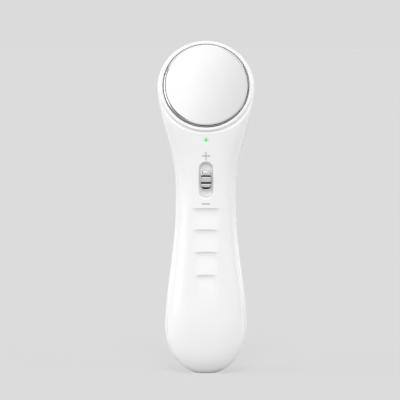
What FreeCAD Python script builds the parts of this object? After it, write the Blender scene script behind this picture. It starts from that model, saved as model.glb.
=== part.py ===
"""Facial massager: a standing handle whose tilted round head carries a polished metal plate.

Lengths are in millimetres and angles in degrees. The origin is the centre of the flat foot, Z runs up the
handle, X runs across it and the front faces -Y. Pieces of the head are first made in the head's own frame,
with the centre of the collar's front face as origin, +Z out of the plate and +Y up along it.
"""

import FreeCAD
import Part
import math
import os

from FreeCAD import Matrix, Placement, Rotation, Vector

# Outer form of the handle
FOOT_HALF_WIDTH = 5.4
BULGE_HEIGHT = 22.4
BULGE_HALF_WIDTH = 20.3
BULGE_FRONT = 13.0
BULGE_REAR = 13.0
WAIST_HEIGHT = 88.0
WAIST_HALF_WIDTH = 14.95
WAIST_FRONT = 11.0
WAIST_REAR = 10.5

# Outer form of the head
HEAD_CENTRE_FRONT = 6.4
HEAD_TILT_DEG = 18.0
HEAD_RADIUS = 23.2
COLLAR_DEPTH = 1.4
COLLAR_ROUND = 0.8
COLLAR_TAPER = 0.4
COLLAR_RIM = 1.85
COLLAR_ABOVE_LIGHT = 4.4
CROWN_LEDGE = 0.55
CROWN_FRONT = 13.9
CROWN_REAR_SHARE = 0.585
CROWN_SETBACK = 1.6

# How finely the outer form is drawn
SECTION_POINT_COUNT = 24
SEAM_POINT_COUNT = 2
BASE_SECTION_COUNT = 6
GRIP_SECTION_COUNT = 16
CROWN_SECTION_COUNT = 6

# Case
WALL = 2.0
PARTING_FRONT = 6.0
PARTING_GAP = 0.12
OVERRUN = 5.0
TOUCH_GAP = 0.1

# Finger steps
STEP_COUNT = 4
STEP_BELOW_SLOT = 5.1
STEP_PITCH = 10.85
STEP_DEPTH = 0.75
STEP_BALL_RADIUS = 70.0
STEP_SQUASH_SHARE = 0.45

# Slide switch
SWITCH_ON_BOARD = 23.2
SWITCH_TRAVEL = 3.4
SLOT_HALF_WIDTH = 3.35
SLOT_HALF_LENGTH = 8.75
SLOT_WALL = 1.3
KNOB_HALF_WIDTH = 2.65
KNOB_HALF_LENGTH = 4.9
KNOB_PROUD = 0.6
KNOB_ROUND = 0.5
KNOB_GROOVE_RADIUS = 0.45
KNOB_GROOVE_PITCH = 3.4
SHUTTER_THICKNESS = 0.8
SHUTTER_HALF_WIDTH = 5.2
SHUTTER_LAP = 1.0
SLIDE_GAP = 0.15
PRONG_THICKNESS = 1.0
PRONG_HALF_WIDTH = 1.6
LEVER_HALF_WIDTH = 1.0
LEVER_HALF_LENGTH = 1.0
SWITCH_BODY_HALF_WIDTH = 3.0
SWITCH_BODY_HALF_LENGTH = 6.5
SWITCH_BODY_HEIGHT = 3.2
LEVER_POCKET_DEPTH = 1.2
PRONG_CLEARANCE = 0.5

# Circuit board and what it carries
BOARD_FRONT_Y = -2.6
BOARD_THICKNESS = 1.2
BOARD_HALF_WIDTH = 7.4
BOARD_ABOVE_TRAY = 2.0
BOARD_CORNER = 1.5
BOARD_SCREW_INSET = 2.0
BOARD_SCREW_EDGE = 2.5
BOARD_BOSS_RADIUS = 2.1
BOARD_SHANK_RADIUS = 0.8
BOARD_SHANK_LENGTH = 4.5
BOARD_HEAD_RADIUS = 1.7
BOARD_HEAD_HEIGHT = 1.2
LED_ABOVE_SHUTTER = 3.05
LED_EDGE = 2.8
LED_HALF_WIDTH = 0.8
LED_HALF_LENGTH = 0.5
LED_THICKNESS = 0.7
PIPE_RADIUS = 0.65
PIPE_FLANGE_RADIUS = 1.4
PIPE_PROUD = 0.1
PIPE_ROUND = 0.25
CHIP_ABOVE_SWITCH = 10.8
CHIP_HALF_WIDTH = 2.5
CHIP_HALF_LENGTH = 2.0
CHIP_THICKNESS = 1.5
COIL_X = 3.6
COIL_ABOVE_SWITCH = 0.3
COIL_FLANGE_RADIUS = 3.4
COIL_WINDING_RADIUS = 2.7
COIL_FLANGE = 0.8
COIL_LENGTH = 4.6
CAPACITOR_X = -4.0
CAPACITOR_ABOVE_SWITCH = 1.8
CAPACITOR_RADIUS = 2.5
CAPACITOR_LENGTH = 6.4
CAPACITOR_ROUND = 0.5

# Case screws
UPPER_SCREW_GAP = 1.1
UPPER_SCREW_DROP = 4.8
LOWER_SCREW_RISE = 9.0
SCREW_SHANK_RADIUS = 1.1
SCREW_SHANK_LENGTH = 8.6
SCREW_HEAD_RADIUS = 2.1
SCREW_HEAD_HEIGHT = 1.6
SCREW_CROSS_HALF_WIDTH = 0.3
SCREW_CROSS_DEPTH = 0.8
SCREW_SEAT_Y = 1.0
SCREW_FIT = 0.05
SCREW_PASS = 0.2
POST_MEET_Y = -3.0
POST_RADIUS = 3.3
BOSS_RADIUS = 2.6
BOSS_BORE_SPARE = 0.4

# Battery bay
BATTERY_RADIUS = 7.15
BATTERY_LENGTH = 49.3
BATTERY_ROUND = 0.4
BATTERY_Y = 1.0
BATTERY_BOTTOM = 17.5
NUB_RADIUS = 2.7
NUB_HEIGHT = 1.1
BAY_GAP = 0.3
TRAY_SIDE = 1.3
TRAY_FLOOR = 1.0
TRAY_END = 1.5
TRAY_RIM_Y = 4.0
CONTACT_SHEET = 0.5
CONTACT_HALF_WIDTH = 5.0
CONTACT_TAB_HALF_WIDTH = 1.5
CONTACT_TAB_LENGTH = 3.5
SPRING_HEIGHT = 4.0
SPRING_RADIUS = 3.6
SPRING_WIRE_RADIUS = 0.4
SPRING_TURN_COUNT = 2.5
TRAY_RIB_THICKNESS = 1.2
TRAY_RIB_INSET = 12.0

# Battery door
DOOR_ABOVE_BAY_FLOOR = 2.0
DOOR_ABOVE_BAY_TOP = 2.5
DOOR_HALF_WIDTH = 9.6
DOOR_CORNER = 4.0
DOOR_GAP = 0.25
TAB_X = 5.0
TAB_HALF_WIDTH = 1.8
TAB_REACH = 1.8
TAB_ROOT = 2.6
TAB_THICKNESS = 1.0
GRIP_LINE_COUNT = 4
GRIP_LINE_PITCH = 2.2
GRIP_LINE_RADIUS = 0.45
GRIP_LINE_HALF_WIDTH = 4.0
GRIP_LINE_EDGE = 5.0

# Metal strip on the back
STRIP_ABOVE_DOOR = 6.0
STRIP_HALF_WIDTH = 5.0
STRIP_HALF_LENGTH = 14.0
STRIP_THICKNESS = 1.0
STRIP_STUD_RADIUS = 1.2
STRIP_STUD_HALF_PITCH = 9.0
STRIP_STUD_PROUD = 1.0

# Head cup and plate
PLATE_GAP = 0.3
PLATE_PROUD = 1.1
PLATE_CROWN = 0.6
PLATE_ROUND = 0.8
PLATE_SHEET = 0.6
CUP_RECESS = 0.7
CUP_FLOOR = 1.5
SPIGOT_RADIUS_SHARE = 0.77
SPIGOT_WALL = 1.5
SPIGOT_LENGTH = 3.0
GASKET_THICKNESS = 0.4
GASKET_WIDTH = 2.2
STUD_RADIUS = 1.5
STUD_SPARE = 0.7
STUD_PASS = 0.2
NUT_FLATS = 5.5
NUT_HEIGHT = 2.4
LUG_RADIUS = 3.2
LUG_SHEET = 0.5
LUG_TAIL_HALF_WIDTH = 1.2
LUG_TAIL_LENGTH = 8.0

# Vibration motor, along X behind the cup's floor
MOTOR_RISE_SHARE = 0.4
MOTOR_RADIUS_SHARE = 0.17
MOTOR_LEFT_SHARE = -0.38
MOTOR_LENGTH_SHARE = 0.55
MOTOR_NOSE_RADIUS = 1.6
MOTOR_NOSE_LENGTH = 0.8
MOTOR_ROUND = 0.5
SHAFT_RADIUS = 0.5
SHAFT_DEPTH = 9.0
SHAFT_FIT = 0.03
WEIGHT_RADIUS_SHARE = 0.15
WEIGHT_LENGTH_SHARE = 0.17
WEIGHT_STANDOFF = 0.8
WEIGHT_HUB_RADIUS = 1.3
CRADLE_BASE = 1.0
CRADLE_SIDE = 0.9
CRADLE_INSET = 2.0
CRADLE_FIT = 0.02

# Leads
LEAD_RADIUS = 0.5
LEAD_BEND = 1.5
LEAD_LIFT = 0.05
LEAD_LAP = 5.5
ELECTRODE_LEAD_X = 2.2
ELECTRODE_LEAD_START = 6.0
ELECTRODE_LEAD_TURN = 11.0
MOTOR_LEAD_X = -1.0
MOTOR_LEAD_PITCH = 1.6
MOTOR_LEAD_OUT = 2.2
HEAD_LEAD_TURN = 8.0
BATTERY_LEAD_Y = -3.6
BATTERY_LEAD_X = -4.0
BATTERY_LEAD_RISE = 7.0
BATTERY_LEAD_BACK = 2.9
STRIP_LEAD_BACK = 4.9
STRIP_LEAD_RISE = 5.0

# Values that follow from the ones above
TILT = math.radians(HEAD_TILT_DEG)
BAY_RADIUS = BATTERY_RADIUS + BAY_GAP
BAY_BOTTOM = BATTERY_BOTTOM - SPRING_HEIGHT - CONTACT_SHEET
NUB_TOP = BATTERY_BOTTOM + BATTERY_LENGTH + NUB_HEIGHT
BAY_TOP = NUB_TOP + TOUCH_GAP + CONTACT_SHEET
DOOR_BOTTOM = BAY_BOTTOM + DOOR_ABOVE_BAY_FLOOR
DOOR_TOP = BAY_TOP + DOOR_ABOVE_BAY_TOP
STRIP_HEIGHT = DOOR_TOP + STRIP_ABOVE_DOOR + STRIP_HALF_LENGTH
BOARD_BOTTOM = BAY_TOP + TRAY_END + BOARD_ABOVE_TRAY
SWITCH_HEIGHT = BOARD_BOTTOM + SWITCH_ON_BOARD
SHUTTER_HALF_LENGTH = SLOT_HALF_LENGTH + SWITCH_TRAVEL + SHUTTER_LAP
LED_HEIGHT = SWITCH_HEIGHT + SHUTTER_HALF_LENGTH + SWITCH_TRAVEL + LED_ABOVE_SHUTTER
BOARD_TOP = LED_HEIGHT + LED_EDGE
CHIP_HEIGHT = SWITCH_HEIGHT + CHIP_ABOVE_SWITCH
COIL_HEIGHT = SWITCH_HEIGHT + COIL_ABOVE_SWITCH
CAPACITOR_HEIGHT = SWITCH_HEIGHT + CAPACITOR_ABOVE_SWITCH
STEP_TOP_HEIGHT = SWITCH_HEIGHT - SLOT_HALF_LENGTH - STEP_BELOW_SLOT
UPPER_SCREW_HEIGHT = LED_HEIGHT - UPPER_SCREW_DROP
LOWER_SCREW_HEIGHT = BULGE_HEIGHT + LOWER_SCREW_RISE
HEAD_CENTRE_HEIGHT = LED_HEIGHT + COLLAR_ABOVE_LIGHT + HEAD_RADIUS * math.cos(TILT)
DOME_HEIGHT = BULGE_HEIGHT / math.sqrt(1 - (FOOT_HALF_WIDTH / BULGE_HALF_WIDTH) ** 2)
CUP_RECESS_RADIUS = HEAD_RADIUS - COLLAR_RIM
PLATE_RADIUS = CUP_RECESS_RADIUS - PLATE_GAP
SPIGOT_RADIUS = HEAD_RADIUS * SPIGOT_RADIUS_SHARE
CROWN_RADIUS = HEAD_RADIUS + CROWN_LEDGE
CROWN_REAR = HEAD_RADIUS * CROWN_REAR_SHARE
CROWN_BEHIND = COLLAR_DEPTH + CROWN_SETBACK
CROWN_HEIGHT = HEAD_CENTRE_HEIGHT - CROWN_BEHIND * math.sin(TILT)
CROWN_MIDDLE_Y = CROWN_BEHIND * math.cos(TILT) - HEAD_CENTRE_FRONT
REACH = 2 * HEAD_CENTRE_HEIGHT
HEAD_PLACE = Placement(
    Vector(0, -HEAD_CENTRE_FRONT, HEAD_CENTRE_HEIGHT), Rotation(Vector(1, 0, 0), 90 - HEAD_TILT_DEG)
)


def ease(share, lateness=1.2):
    """Smooth step from 0 to 1 that starts late, because the share is first raised to a power."""
    late = share**lateness
    return late * late * (3 - 2 * late)


def mix(start, end, share):
    """Value that lies a share of the way from start to end."""
    return start + (end - start) * share


def middle_y(height):
    """Y of the widest line of the outer form: upright in the handle, leaning with the head."""
    if height <= WAIST_HEIGHT:
        return 0.0
    leaning = CROWN_MIDDLE_Y + (height - CROWN_HEIGHT) * math.tan(TILT)
    if height >= CROWN_HEIGHT:
        return leaning
    return leaning * ease((height - WAIST_HEIGHT) / (CROWN_HEIGHT - WAIST_HEIGHT))


def section_sizes(height, inset):
    """Half width, middle line, depth before it, depth behind it and corner power of one level section.

    The form is an ellipse-like dome up to the bulge, two eased tapers to and from the waist, and a round
    crown that closes over the head. The inset moves the whole form inwards.
    """
    handle_power = 2.5
    crown_power = 2.1
    middle = middle_y(height)
    if height < BULGE_HEIGHT:
        drop = (BULGE_HEIGHT - height) / (DOME_HEIGHT - inset)
        side_share = (1 - drop**2) ** (1 / 2)
        depth_share = (1 - drop**handle_power) ** (1 / handle_power)
        sizes = (
            (BULGE_HALF_WIDTH - inset) * side_share,
            (BULGE_FRONT - inset) * depth_share,
            (BULGE_REAR - inset) * depth_share,
        )
        power = handle_power
    elif height < WAIST_HEIGHT:
        share = ease((WAIST_HEIGHT - height) / (WAIST_HEIGHT - BULGE_HEIGHT))
        sizes = (
            mix(WAIST_HALF_WIDTH, BULGE_HALF_WIDTH, share) - inset,
            mix(WAIST_FRONT, BULGE_FRONT, share) - inset,
            mix(WAIST_REAR, BULGE_REAR, share) - inset,
        )
        power = handle_power
    elif height < CROWN_HEIGHT:
        share = ease((height - WAIST_HEIGHT) / (CROWN_HEIGHT - WAIST_HEIGHT))
        sizes = (
            mix(WAIST_HALF_WIDTH, CROWN_RADIUS, share) - inset,
            mix(WAIST_FRONT, CROWN_FRONT, share) + middle - inset,
            mix(WAIST_REAR, CROWN_MIDDLE_Y + CROWN_REAR, share) - middle - inset,
        )
        power = mix(handle_power, crown_power, share)
    else:
        rise = (height - CROWN_HEIGHT) / ((CROWN_RADIUS - inset) * math.cos(TILT))
        share = math.sqrt(1 - rise**2)
        sizes = (
            (CROWN_RADIUS - inset) * share,
            (CROWN_FRONT + CROWN_MIDDLE_Y - inset) * share,
            (CROWN_REAR - inset) * share,
        )
        power = crown_power
    half_width, front_depth, rear_depth = sizes
    return half_width, middle, front_depth, rear_depth, power


def skin_y(across, height, inset, front):
    """Y of the outer form, moved inwards by the inset, at a place across and a height."""
    half_width, middle, front_depth, rear_depth, power = section_sizes(height, inset)
    share = (1 - abs(across / half_width) ** power) ** (1 / power)
    if front:
        return middle - front_depth * share
    return middle + rear_depth * share


def signed_power(value, exponent):
    """Power of a value's size, with the value's sign."""
    return math.copysign(abs(value) ** exponent, value)


def section_wire(height, inset):
    """Closed smooth outline of one level section."""
    half_width, middle, front_depth, rear_depth, power = section_sizes(height, inset)
    points = []
    for index in range(SECTION_POINT_COUNT):
        turn = 2 * math.pi * (index + SEAM_POINT_COUNT) / SECTION_POINT_COUNT
        across = round(math.cos(turn), 12)
        along = round(math.sin(turn), 12)
        depth = rear_depth if along > 0 else front_depth
        x = half_width * signed_power(across, 2 / power)
        y = middle + depth * signed_power(along, 2 / power)
        points.append(Vector(x, y, height))
    curve = Part.BSplineCurve()
    curve.interpolate(Points=points, PeriodicFlag=True, Parameters=list(range(SECTION_POINT_COUNT + 1)))
    return Part.Wire(curve.toShape())


def section_heights(inset):
    """Heights of the sections that carry the outer form, close together where it curves most."""
    dome = DOME_HEIGHT - inset
    crown = (CROWN_RADIUS - inset) * math.cos(TILT)
    start_angle = math.acos((BULGE_HEIGHT - inset) / dome)
    heights = []
    for index in range(BASE_SECTION_COUNT):
        angle = mix(start_angle, math.pi / 2, index / BASE_SECTION_COUNT)
        heights.append(BULGE_HEIGHT - dome * math.cos(angle))
    for index in range(GRIP_SECTION_COUNT):
        heights.append(mix(BULGE_HEIGHT, CROWN_HEIGHT, index / GRIP_SECTION_COUNT))
    for index in range(CROWN_SECTION_COUNT):
        angle = math.pi / 2 * index / CROWN_SECTION_COUNT
        heights.append(CROWN_HEIGHT + crown * math.sin(angle))
    return heights


def form(inset):
    """Solid of the whole outer form, moved inwards by the inset, before the head's seat is cut."""
    sections = [section_wire(height, inset) for height in section_heights(inset)]
    top = CROWN_HEIGHT + (CROWN_RADIUS - inset) * math.cos(TILT)
    sections.append(Part.Vertex(Vector(0, middle_y(top), top)))
    return Part.makeLoft(sections, True, False, False)


def block(x_limits, y_limits, z_limits):
    """Box between limits along X, Y and Z."""
    low = Vector(x_limits[0], y_limits[0], z_limits[0])
    high = Vector(x_limits[1], y_limits[1], z_limits[1])
    size = high - low
    return Part.makeBox(size.x, size.y, size.z, low)


def rod(radius, start, end):
    """Round rod between two points."""
    run = end - start
    return Part.makeCylinder(radius, run.Length, start, run)


def depth_rod(radius, x, z, y_limits):
    """Round rod along Y at a place across and a height."""
    return rod(radius, Vector(x, y_limits[0], z), Vector(x, y_limits[1], z))


def stadium(half_width, half_length, height, y_limits):
    """Prism along Y whose outline is an upright slot with round ends."""
    straight = half_length - half_width
    low = y_limits[0]
    corners = [
        Vector(-half_width, low, height - straight),
        Vector(-half_width, low, height + straight),
        Vector(half_width, low, height + straight),
        Vector(half_width, low, height - straight),
    ]
    top = Vector(0, low, height + half_length)
    bottom = Vector(0, low, height - half_length)
    outline = Part.Wire([
        Part.makeLine(corners[0], corners[1]),
        Part.Arc(corners[1], top, corners[2]).toShape(),
        Part.makeLine(corners[2], corners[3]),
        Part.Arc(corners[3], bottom, corners[0]).toShape(),
    ])
    return Part.Face(outline).extrude(Vector(0, y_limits[1] - low, 0))


def rounded_panel(half_width, z_limits, corner, y_limits):
    """Plate across Y whose outline is a rectangle with rounded corners."""
    plate = block((-half_width, half_width), y_limits, z_limits)
    edges = [edge for edge in plate.Edges if abs(edge.tangentAt(edge.FirstParameter).y) > 1 / 2]
    return plate.makeFillet(corner, edges)


def turned(corners):
    """Solid of revolution about Z of an outline given as (radius, z) corners."""
    points = [Vector(radius, 0, z) for radius, z in corners]
    outline = Part.makePolygon(points + points[:1])
    return Part.Face(outline).revolve(Vector(0, 0, 0), Vector(0, 0, 1), 360)


def circle_edges(shape, radius, z):
    """Full-circle edges of a turned shape with a given radius and level."""
    found = []
    for edge in shape.Edges:
        round_edge = isinstance(edge.Curve, Part.Circle)
        if round_edge and math.isclose(edge.Curve.Radius, radius) and math.isclose(edge.Curve.Center.z, z):
            found.append(edge)
    return found


def in_head(shape):
    """Shape moved from the head's own frame to the object's frame."""
    moved = shape.copy()
    moved.Placement = HEAD_PLACE.multiply(moved.Placement)
    return moved


def head_point(across, up, out):
    """Point of the head's own frame in the object's frame."""
    return HEAD_PLACE.multVec(Vector(across, up, out))


def lead(points):
    """Round lead along straight runs joined by tangent arcs."""
    edges = []
    start = points[0]
    for before, corner, after in zip(points, points[1:], points[2:]):
        back = (before - corner).normalize()
        ahead = (after - corner).normalize()
        half_angle = back.getAngle(ahead) / 2
        trim = LEAD_BEND / math.tan(half_angle)
        centre_way = (back + ahead).normalize()
        centre = corner + centre_way * (LEAD_BEND / math.sin(half_angle))
        arc_start = corner + back * trim
        arc_end = corner + ahead * trim
        edges.append(Part.makeLine(start, arc_start))
        edges.append(Part.Arc(arc_start, centre - centre_way * LEAD_BEND, arc_end).toShape())
        start = arc_end
    edges.append(Part.makeLine(start, points[-1]))
    ring = Part.Wire(Part.makeCircle(LEAD_RADIUS, points[0], points[1] - points[0]))
    return Part.Wire(edges).makePipeShell([ring], True, False)


# Places that several pieces share
SEAT_Y = skin_y(0, SWITCH_HEIGHT, 0, True) + SLOT_WALL
SHUTTER_FRONT_Y = SEAT_Y + SLIDE_GAP
SHUTTER_REAR_Y = SHUTTER_FRONT_Y + SHUTTER_THICKNESS
BOARD_REAR_Y = BOARD_FRONT_Y + BOARD_THICKNESS
SWITCH_BODY_FRONT_Y = BOARD_FRONT_Y - SWITCH_BODY_HEIGHT
BOARD_SCREW_X = BOARD_HALF_WIDTH - BOARD_SCREW_INSET
BOARD_SCREW_HEIGHTS = (BOARD_BOTTOM + BOARD_SCREW_EDGE, BOARD_TOP - BOARD_SCREW_EDGE)
BOARD_SCREW_PLACES = [(side * BOARD_SCREW_X, z) for z in BOARD_SCREW_HEIGHTS for side in (-1, 1)]
TRAY_HALF_WIDTH = BAY_RADIUS + TRAY_SIDE
MINUS_TAB_X = -TRAY_HALF_WIDTH - 2 * LEAD_RADIUS - 2 * TOUCH_GAP
UPPER_SCREW_X = BOARD_HALF_WIDTH + UPPER_SCREW_GAP + POST_RADIUS
LOWER_SCREW_X = POST_RADIUS - MINUS_TAB_X
CASE_SCREW_PLACES = [
    (side * x, z)
    for x, z in ((UPPER_SCREW_X, UPPER_SCREW_HEIGHT), (LOWER_SCREW_X, LOWER_SCREW_HEIGHT))
    for side in (-1, 1)
]
TRAY_FRONT_Y = BATTERY_Y - BAY_RADIUS - TRAY_FLOOR
PLUS_TAB_Y = (BOARD_REAR_Y + LEAD_LIFT, BOARD_REAR_Y + LEAD_LIFT + CONTACT_SHEET)
STRIP_STUD_HEIGHTS = (STRIP_HEIGHT - STRIP_STUD_HALF_PITCH, STRIP_HEIGHT + STRIP_STUD_HALF_PITCH)
CUP_BACK = CUP_RECESS + CUP_FLOOR
LUG_BACK = CUP_BACK + LUG_SHEET
NUT_BACK = LUG_BACK + NUT_HEIGHT
MOTOR_RADIUS = HEAD_RADIUS * MOTOR_RADIUS_SHARE
MOTOR_RISE = HEAD_RADIUS * MOTOR_RISE_SHARE
MOTOR_DEPTH = CUP_BACK + CRADLE_BASE + MOTOR_RADIUS
MOTOR_LEFT = HEAD_RADIUS * MOTOR_LEFT_SHARE
MOTOR_RIGHT = MOTOR_LEFT + HEAD_RADIUS * MOTOR_LENGTH_SHARE
NOSE_RIGHT = MOTOR_RIGHT + MOTOR_NOSE_LENGTH
WEIGHT_RADIUS = HEAD_RADIUS * WEIGHT_RADIUS_SHARE
WEIGHT_LEFT = NOSE_RIGHT + WEIGHT_STANDOFF
WEIGHT_RIGHT = WEIGHT_LEFT + HEAD_RADIUS * WEIGHT_LENGTH_SHARE


def motor_point(across):
    """Point of the motor's axis, in the head's own frame."""
    return Vector(across, MOTOR_RISE, -MOTOR_DEPTH)


def slide_pocket():
    """Room behind the front panel in which the shutter slides on a flat seat."""
    half_width = SHUTTER_HALF_WIDTH + 2 * SLIDE_GAP
    half_length = SHUTTER_HALF_LENGTH + SWITCH_TRAVEL + 2 * SLIDE_GAP
    return block(
        (-half_width, half_width), (SEAT_Y, 0), (SWITCH_HEIGHT - half_length, SWITCH_HEIGHT + half_length)
    )


def finger_step(height):
    """Cutter of one finger step: the lower half of a squashed ball that dips into the front."""
    squash = Matrix()
    squash.scale(1, 1, STEP_SQUASH_SHARE)
    ball = Part.makeSphere(STEP_BALL_RADIUS).transformGeometry(squash)
    ball.translate(Vector(0, skin_y(0, height, 0, True) + STEP_DEPTH - STEP_BALL_RADIUS, height))
    below = block((-REACH, REACH), (-REACH, 0), (height - STEP_BALL_RADIUS, height))
    return ball.common(below)


def make_front_cover(shell, core):
    """Front panel with its switch slot, light hole, finger steps, screw bosses and tray ribs."""
    ahead = block((-REACH, REACH), (-REACH, -PARTING_FRONT - PARTING_GAP), (-REACH, REACH))
    cover = shell.common(ahead).cut(head_seat())
    fixings = []
    for x, z in CASE_SCREW_PLACES:
        fixings.append(depth_rod(BOSS_RADIUS, x, z, (-BULGE_FRONT, POST_MEET_Y)))
    for x, z in BOARD_SCREW_PLACES:
        fixings.append(depth_rod(BOARD_BOSS_RADIUS, x, z, (-BULGE_FRONT, BOARD_FRONT_Y)))
    rib_end = TRAY_FRONT_Y - TOUCH_GAP
    for z in (BAY_BOTTOM + TRAY_RIB_INSET, BAY_TOP - TRAY_RIB_INSET):
        limits = (z, z + TRAY_RIB_THICKNESS)
        fixings.append(block((-BAY_RADIUS, BAY_RADIUS), (-BULGE_FRONT, rib_end), limits))
    cover = cover.fuse(core.common(fixings).Solids)
    screw_end = SCREW_SEAT_Y - SCREW_SHANK_LENGTH - BOSS_BORE_SPARE
    board_screw_end = BOARD_REAR_Y - BOARD_SHANK_LENGTH - BOSS_BORE_SPARE
    cuts = [slide_pocket()]
    for x, z in CASE_SCREW_PLACES:
        cuts.append(depth_rod(SCREW_SHANK_RADIUS + SCREW_FIT, x, z, (screw_end, 0)))
    for x, z in BOARD_SCREW_PLACES:
        cuts.append(depth_rod(BOARD_SHANK_RADIUS + SCREW_FIT, x, z, (board_screw_end, 0)))
    cuts.append(stadium(SLOT_HALF_WIDTH, SLOT_HALF_LENGTH, SWITCH_HEIGHT, (-REACH, 0)))
    cuts.append(depth_rod(PIPE_RADIUS + SCREW_FIT, 0, LED_HEIGHT, (-REACH, 0)))
    for index in range(STEP_COUNT):
        cuts.append(finger_step(STEP_TOP_HEIGHT - index * STEP_PITCH))
    return cover.cut(cuts)


def head_seat():
    """Everything in front of the tilted plane on which the head cup sits."""
    return in_head(block((-REACH, REACH), (-REACH, REACH), (-COLLAR_DEPTH, REACH)))


def make_rear_cover(shell, core, strip_floor):
    """Rear tub with the crown, the flat foot, screw posts, the battery opening and the strip's recess."""
    ahead = block((-REACH, REACH), (-REACH, -PARTING_FRONT), (-REACH, REACH))
    cover = shell.cut([ahead, head_seat()])
    posts = [depth_rod(POST_RADIUS, x, z, (POST_MEET_Y, BULGE_REAR)) for x, z in CASE_SCREW_PLACES]
    cover = cover.fuse(core.common(posts).Solids)
    cuts = [stadium(
        STRIP_HALF_WIDTH + TOUCH_GAP, STRIP_HALF_LENGTH + TOUCH_GAP, STRIP_HEIGHT, (0, BULGE_REAR)
    ).cut(strip_floor)]
    for x, z in CASE_SCREW_PLACES:
        cuts.append(depth_rod(SCREW_SHANK_RADIUS + SCREW_PASS, x, z, (-PARTING_FRONT, BULGE_REAR)))
        cuts.append(depth_rod(SCREW_HEAD_RADIUS + SCREW_PASS, x, z, (SCREW_SEAT_Y, BULGE_REAR)))
    cuts.append(rounded_panel(
        DOOR_HALF_WIDTH + DOOR_GAP,
        (DOOR_BOTTOM - DOOR_GAP, DOOR_TOP + DOOR_GAP),
        DOOR_CORNER + DOOR_GAP,
        (TRAY_RIM_Y, REACH),
    ))
    for z in STRIP_STUD_HEIGHTS:
        cuts.append(depth_rod(STRIP_STUD_RADIUS + TOUCH_GAP, 0, z, (0, BULGE_REAR)))
    return cover.cut(cuts)


def make_battery_door(outer, core, inner):
    """Curved door over the battery, with grip lines at its top and two tabs behind its hinged lower edge."""
    panel = rounded_panel(DOOR_HALF_WIDTH, (DOOR_BOTTOM, DOOR_TOP), DOOR_CORNER, (TRAY_RIM_Y, REACH))
    door = panel.common(outer).cut(inner)
    tab_end = DOOR_BOTTOM - DOOR_GAP - TAB_REACH
    tab_rear = skin_y(TAB_X + TAB_HALF_WIDTH, tab_end, WALL, False) - 2 * TOUCH_GAP
    tab_front = tab_rear - TAB_THICKNESS
    tabs = []
    for side in (-1, 1):
        limits = (side * TAB_X - TAB_HALF_WIDTH, side * TAB_X + TAB_HALF_WIDTH)
        tongue = block(limits, (tab_front, tab_rear), (tab_end, DOOR_BOTTOM + TAB_ROOT))
        root = block(limits, (tab_front, BULGE_REAR), (DOOR_BOTTOM + DOOR_GAP, DOOR_BOTTOM + TAB_ROOT))
        tabs.append(tongue.fuse(root.common(core)))
    grooves = []
    for index in range(GRIP_LINE_COUNT):
        z = DOOR_TOP - GRIP_LINE_EDGE - index * GRIP_LINE_PITCH
        y = skin_y(0, z, 0, False)
        half_width = GRIP_LINE_HALF_WIDTH
        grooves.append(rod(GRIP_LINE_RADIUS, Vector(-half_width, y, z), Vector(half_width, y, z)))
    return door.fuse(tabs).cut(grooves)


def make_hand_contact(outer, strip_floor):
    """Metal strip let into the back, with two studs through the cover."""
    outline = stadium(STRIP_HALF_WIDTH, STRIP_HALF_LENGTH, STRIP_HEIGHT, (0, REACH))
    strip = outline.common(outer).cut(strip_floor)
    studs = []
    for z in STRIP_STUD_HEIGHTS:
        stud_rear = skin_y(0, z, STRIP_THICKNESS / 2, False)
        stud_front = skin_y(0, z, WALL, False) - STRIP_STUD_PROUD
        studs.append(depth_rod(STRIP_STUD_RADIUS, 0, z, (stud_front, stud_rear)))
    return strip.fuse(studs)


def make_switch_knob():
    """Ribbed slide knob that stands on the shutter and reaches out of the slot."""
    front = skin_y(0, SWITCH_HEIGHT, 0, True) - KNOB_PROUD
    knob = stadium(KNOB_HALF_WIDTH, KNOB_HALF_LENGTH, SWITCH_HEIGHT, (front, SHUTTER_FRONT_Y))
    front_edges = [edge for edge in knob.Edges if edge.BoundBox.YMax - front < KNOB_ROUND / 2]
    knob = knob.makeFillet(KNOB_ROUND, front_edges)
    for side in (-1, 1):
        z = SWITCH_HEIGHT + side * KNOB_GROOVE_PITCH / 2
        knob = knob.cut(rod(KNOB_GROOVE_RADIUS, Vector(-OVERRUN, front, z), Vector(OVERRUN, front, z)))
    return knob


def make_switch_shutter():
    """Plate that closes the slot from behind, with a fork that takes the switch's lever."""
    plate = block(
        (-SHUTTER_HALF_WIDTH, SHUTTER_HALF_WIDTH),
        (SHUTTER_FRONT_Y, SHUTTER_REAR_Y),
        (SWITCH_HEIGHT - SHUTTER_HALF_LENGTH, SWITCH_HEIGHT + SHUTTER_HALF_LENGTH),
    )
    prong_end = SWITCH_BODY_FRONT_Y - PRONG_CLEARANCE
    for side in (-1, 1):
        near = LEVER_HALF_LENGTH + TOUCH_GAP
        limits = sorted((SWITCH_HEIGHT + side * near, SWITCH_HEIGHT + side * (near + PRONG_THICKNESS)))
        prong = block((-PRONG_HALF_WIDTH, PRONG_HALF_WIDTH), (SHUTTER_FRONT_Y, prong_end), limits)
        plate = plate.fuse(prong)
    return plate.removeSplitter()


def make_switch_lever():
    """Square lever of the slide switch, between the shutter's prongs."""
    return block(
        (-LEVER_HALF_WIDTH, LEVER_HALF_WIDTH),
        (SHUTTER_REAR_Y + SLIDE_GAP, SWITCH_BODY_FRONT_Y + LEVER_POCKET_DEPTH - SLIDE_GAP),
        (SWITCH_HEIGHT - LEVER_HALF_LENGTH, SWITCH_HEIGHT + LEVER_HALF_LENGTH),
    )


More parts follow.
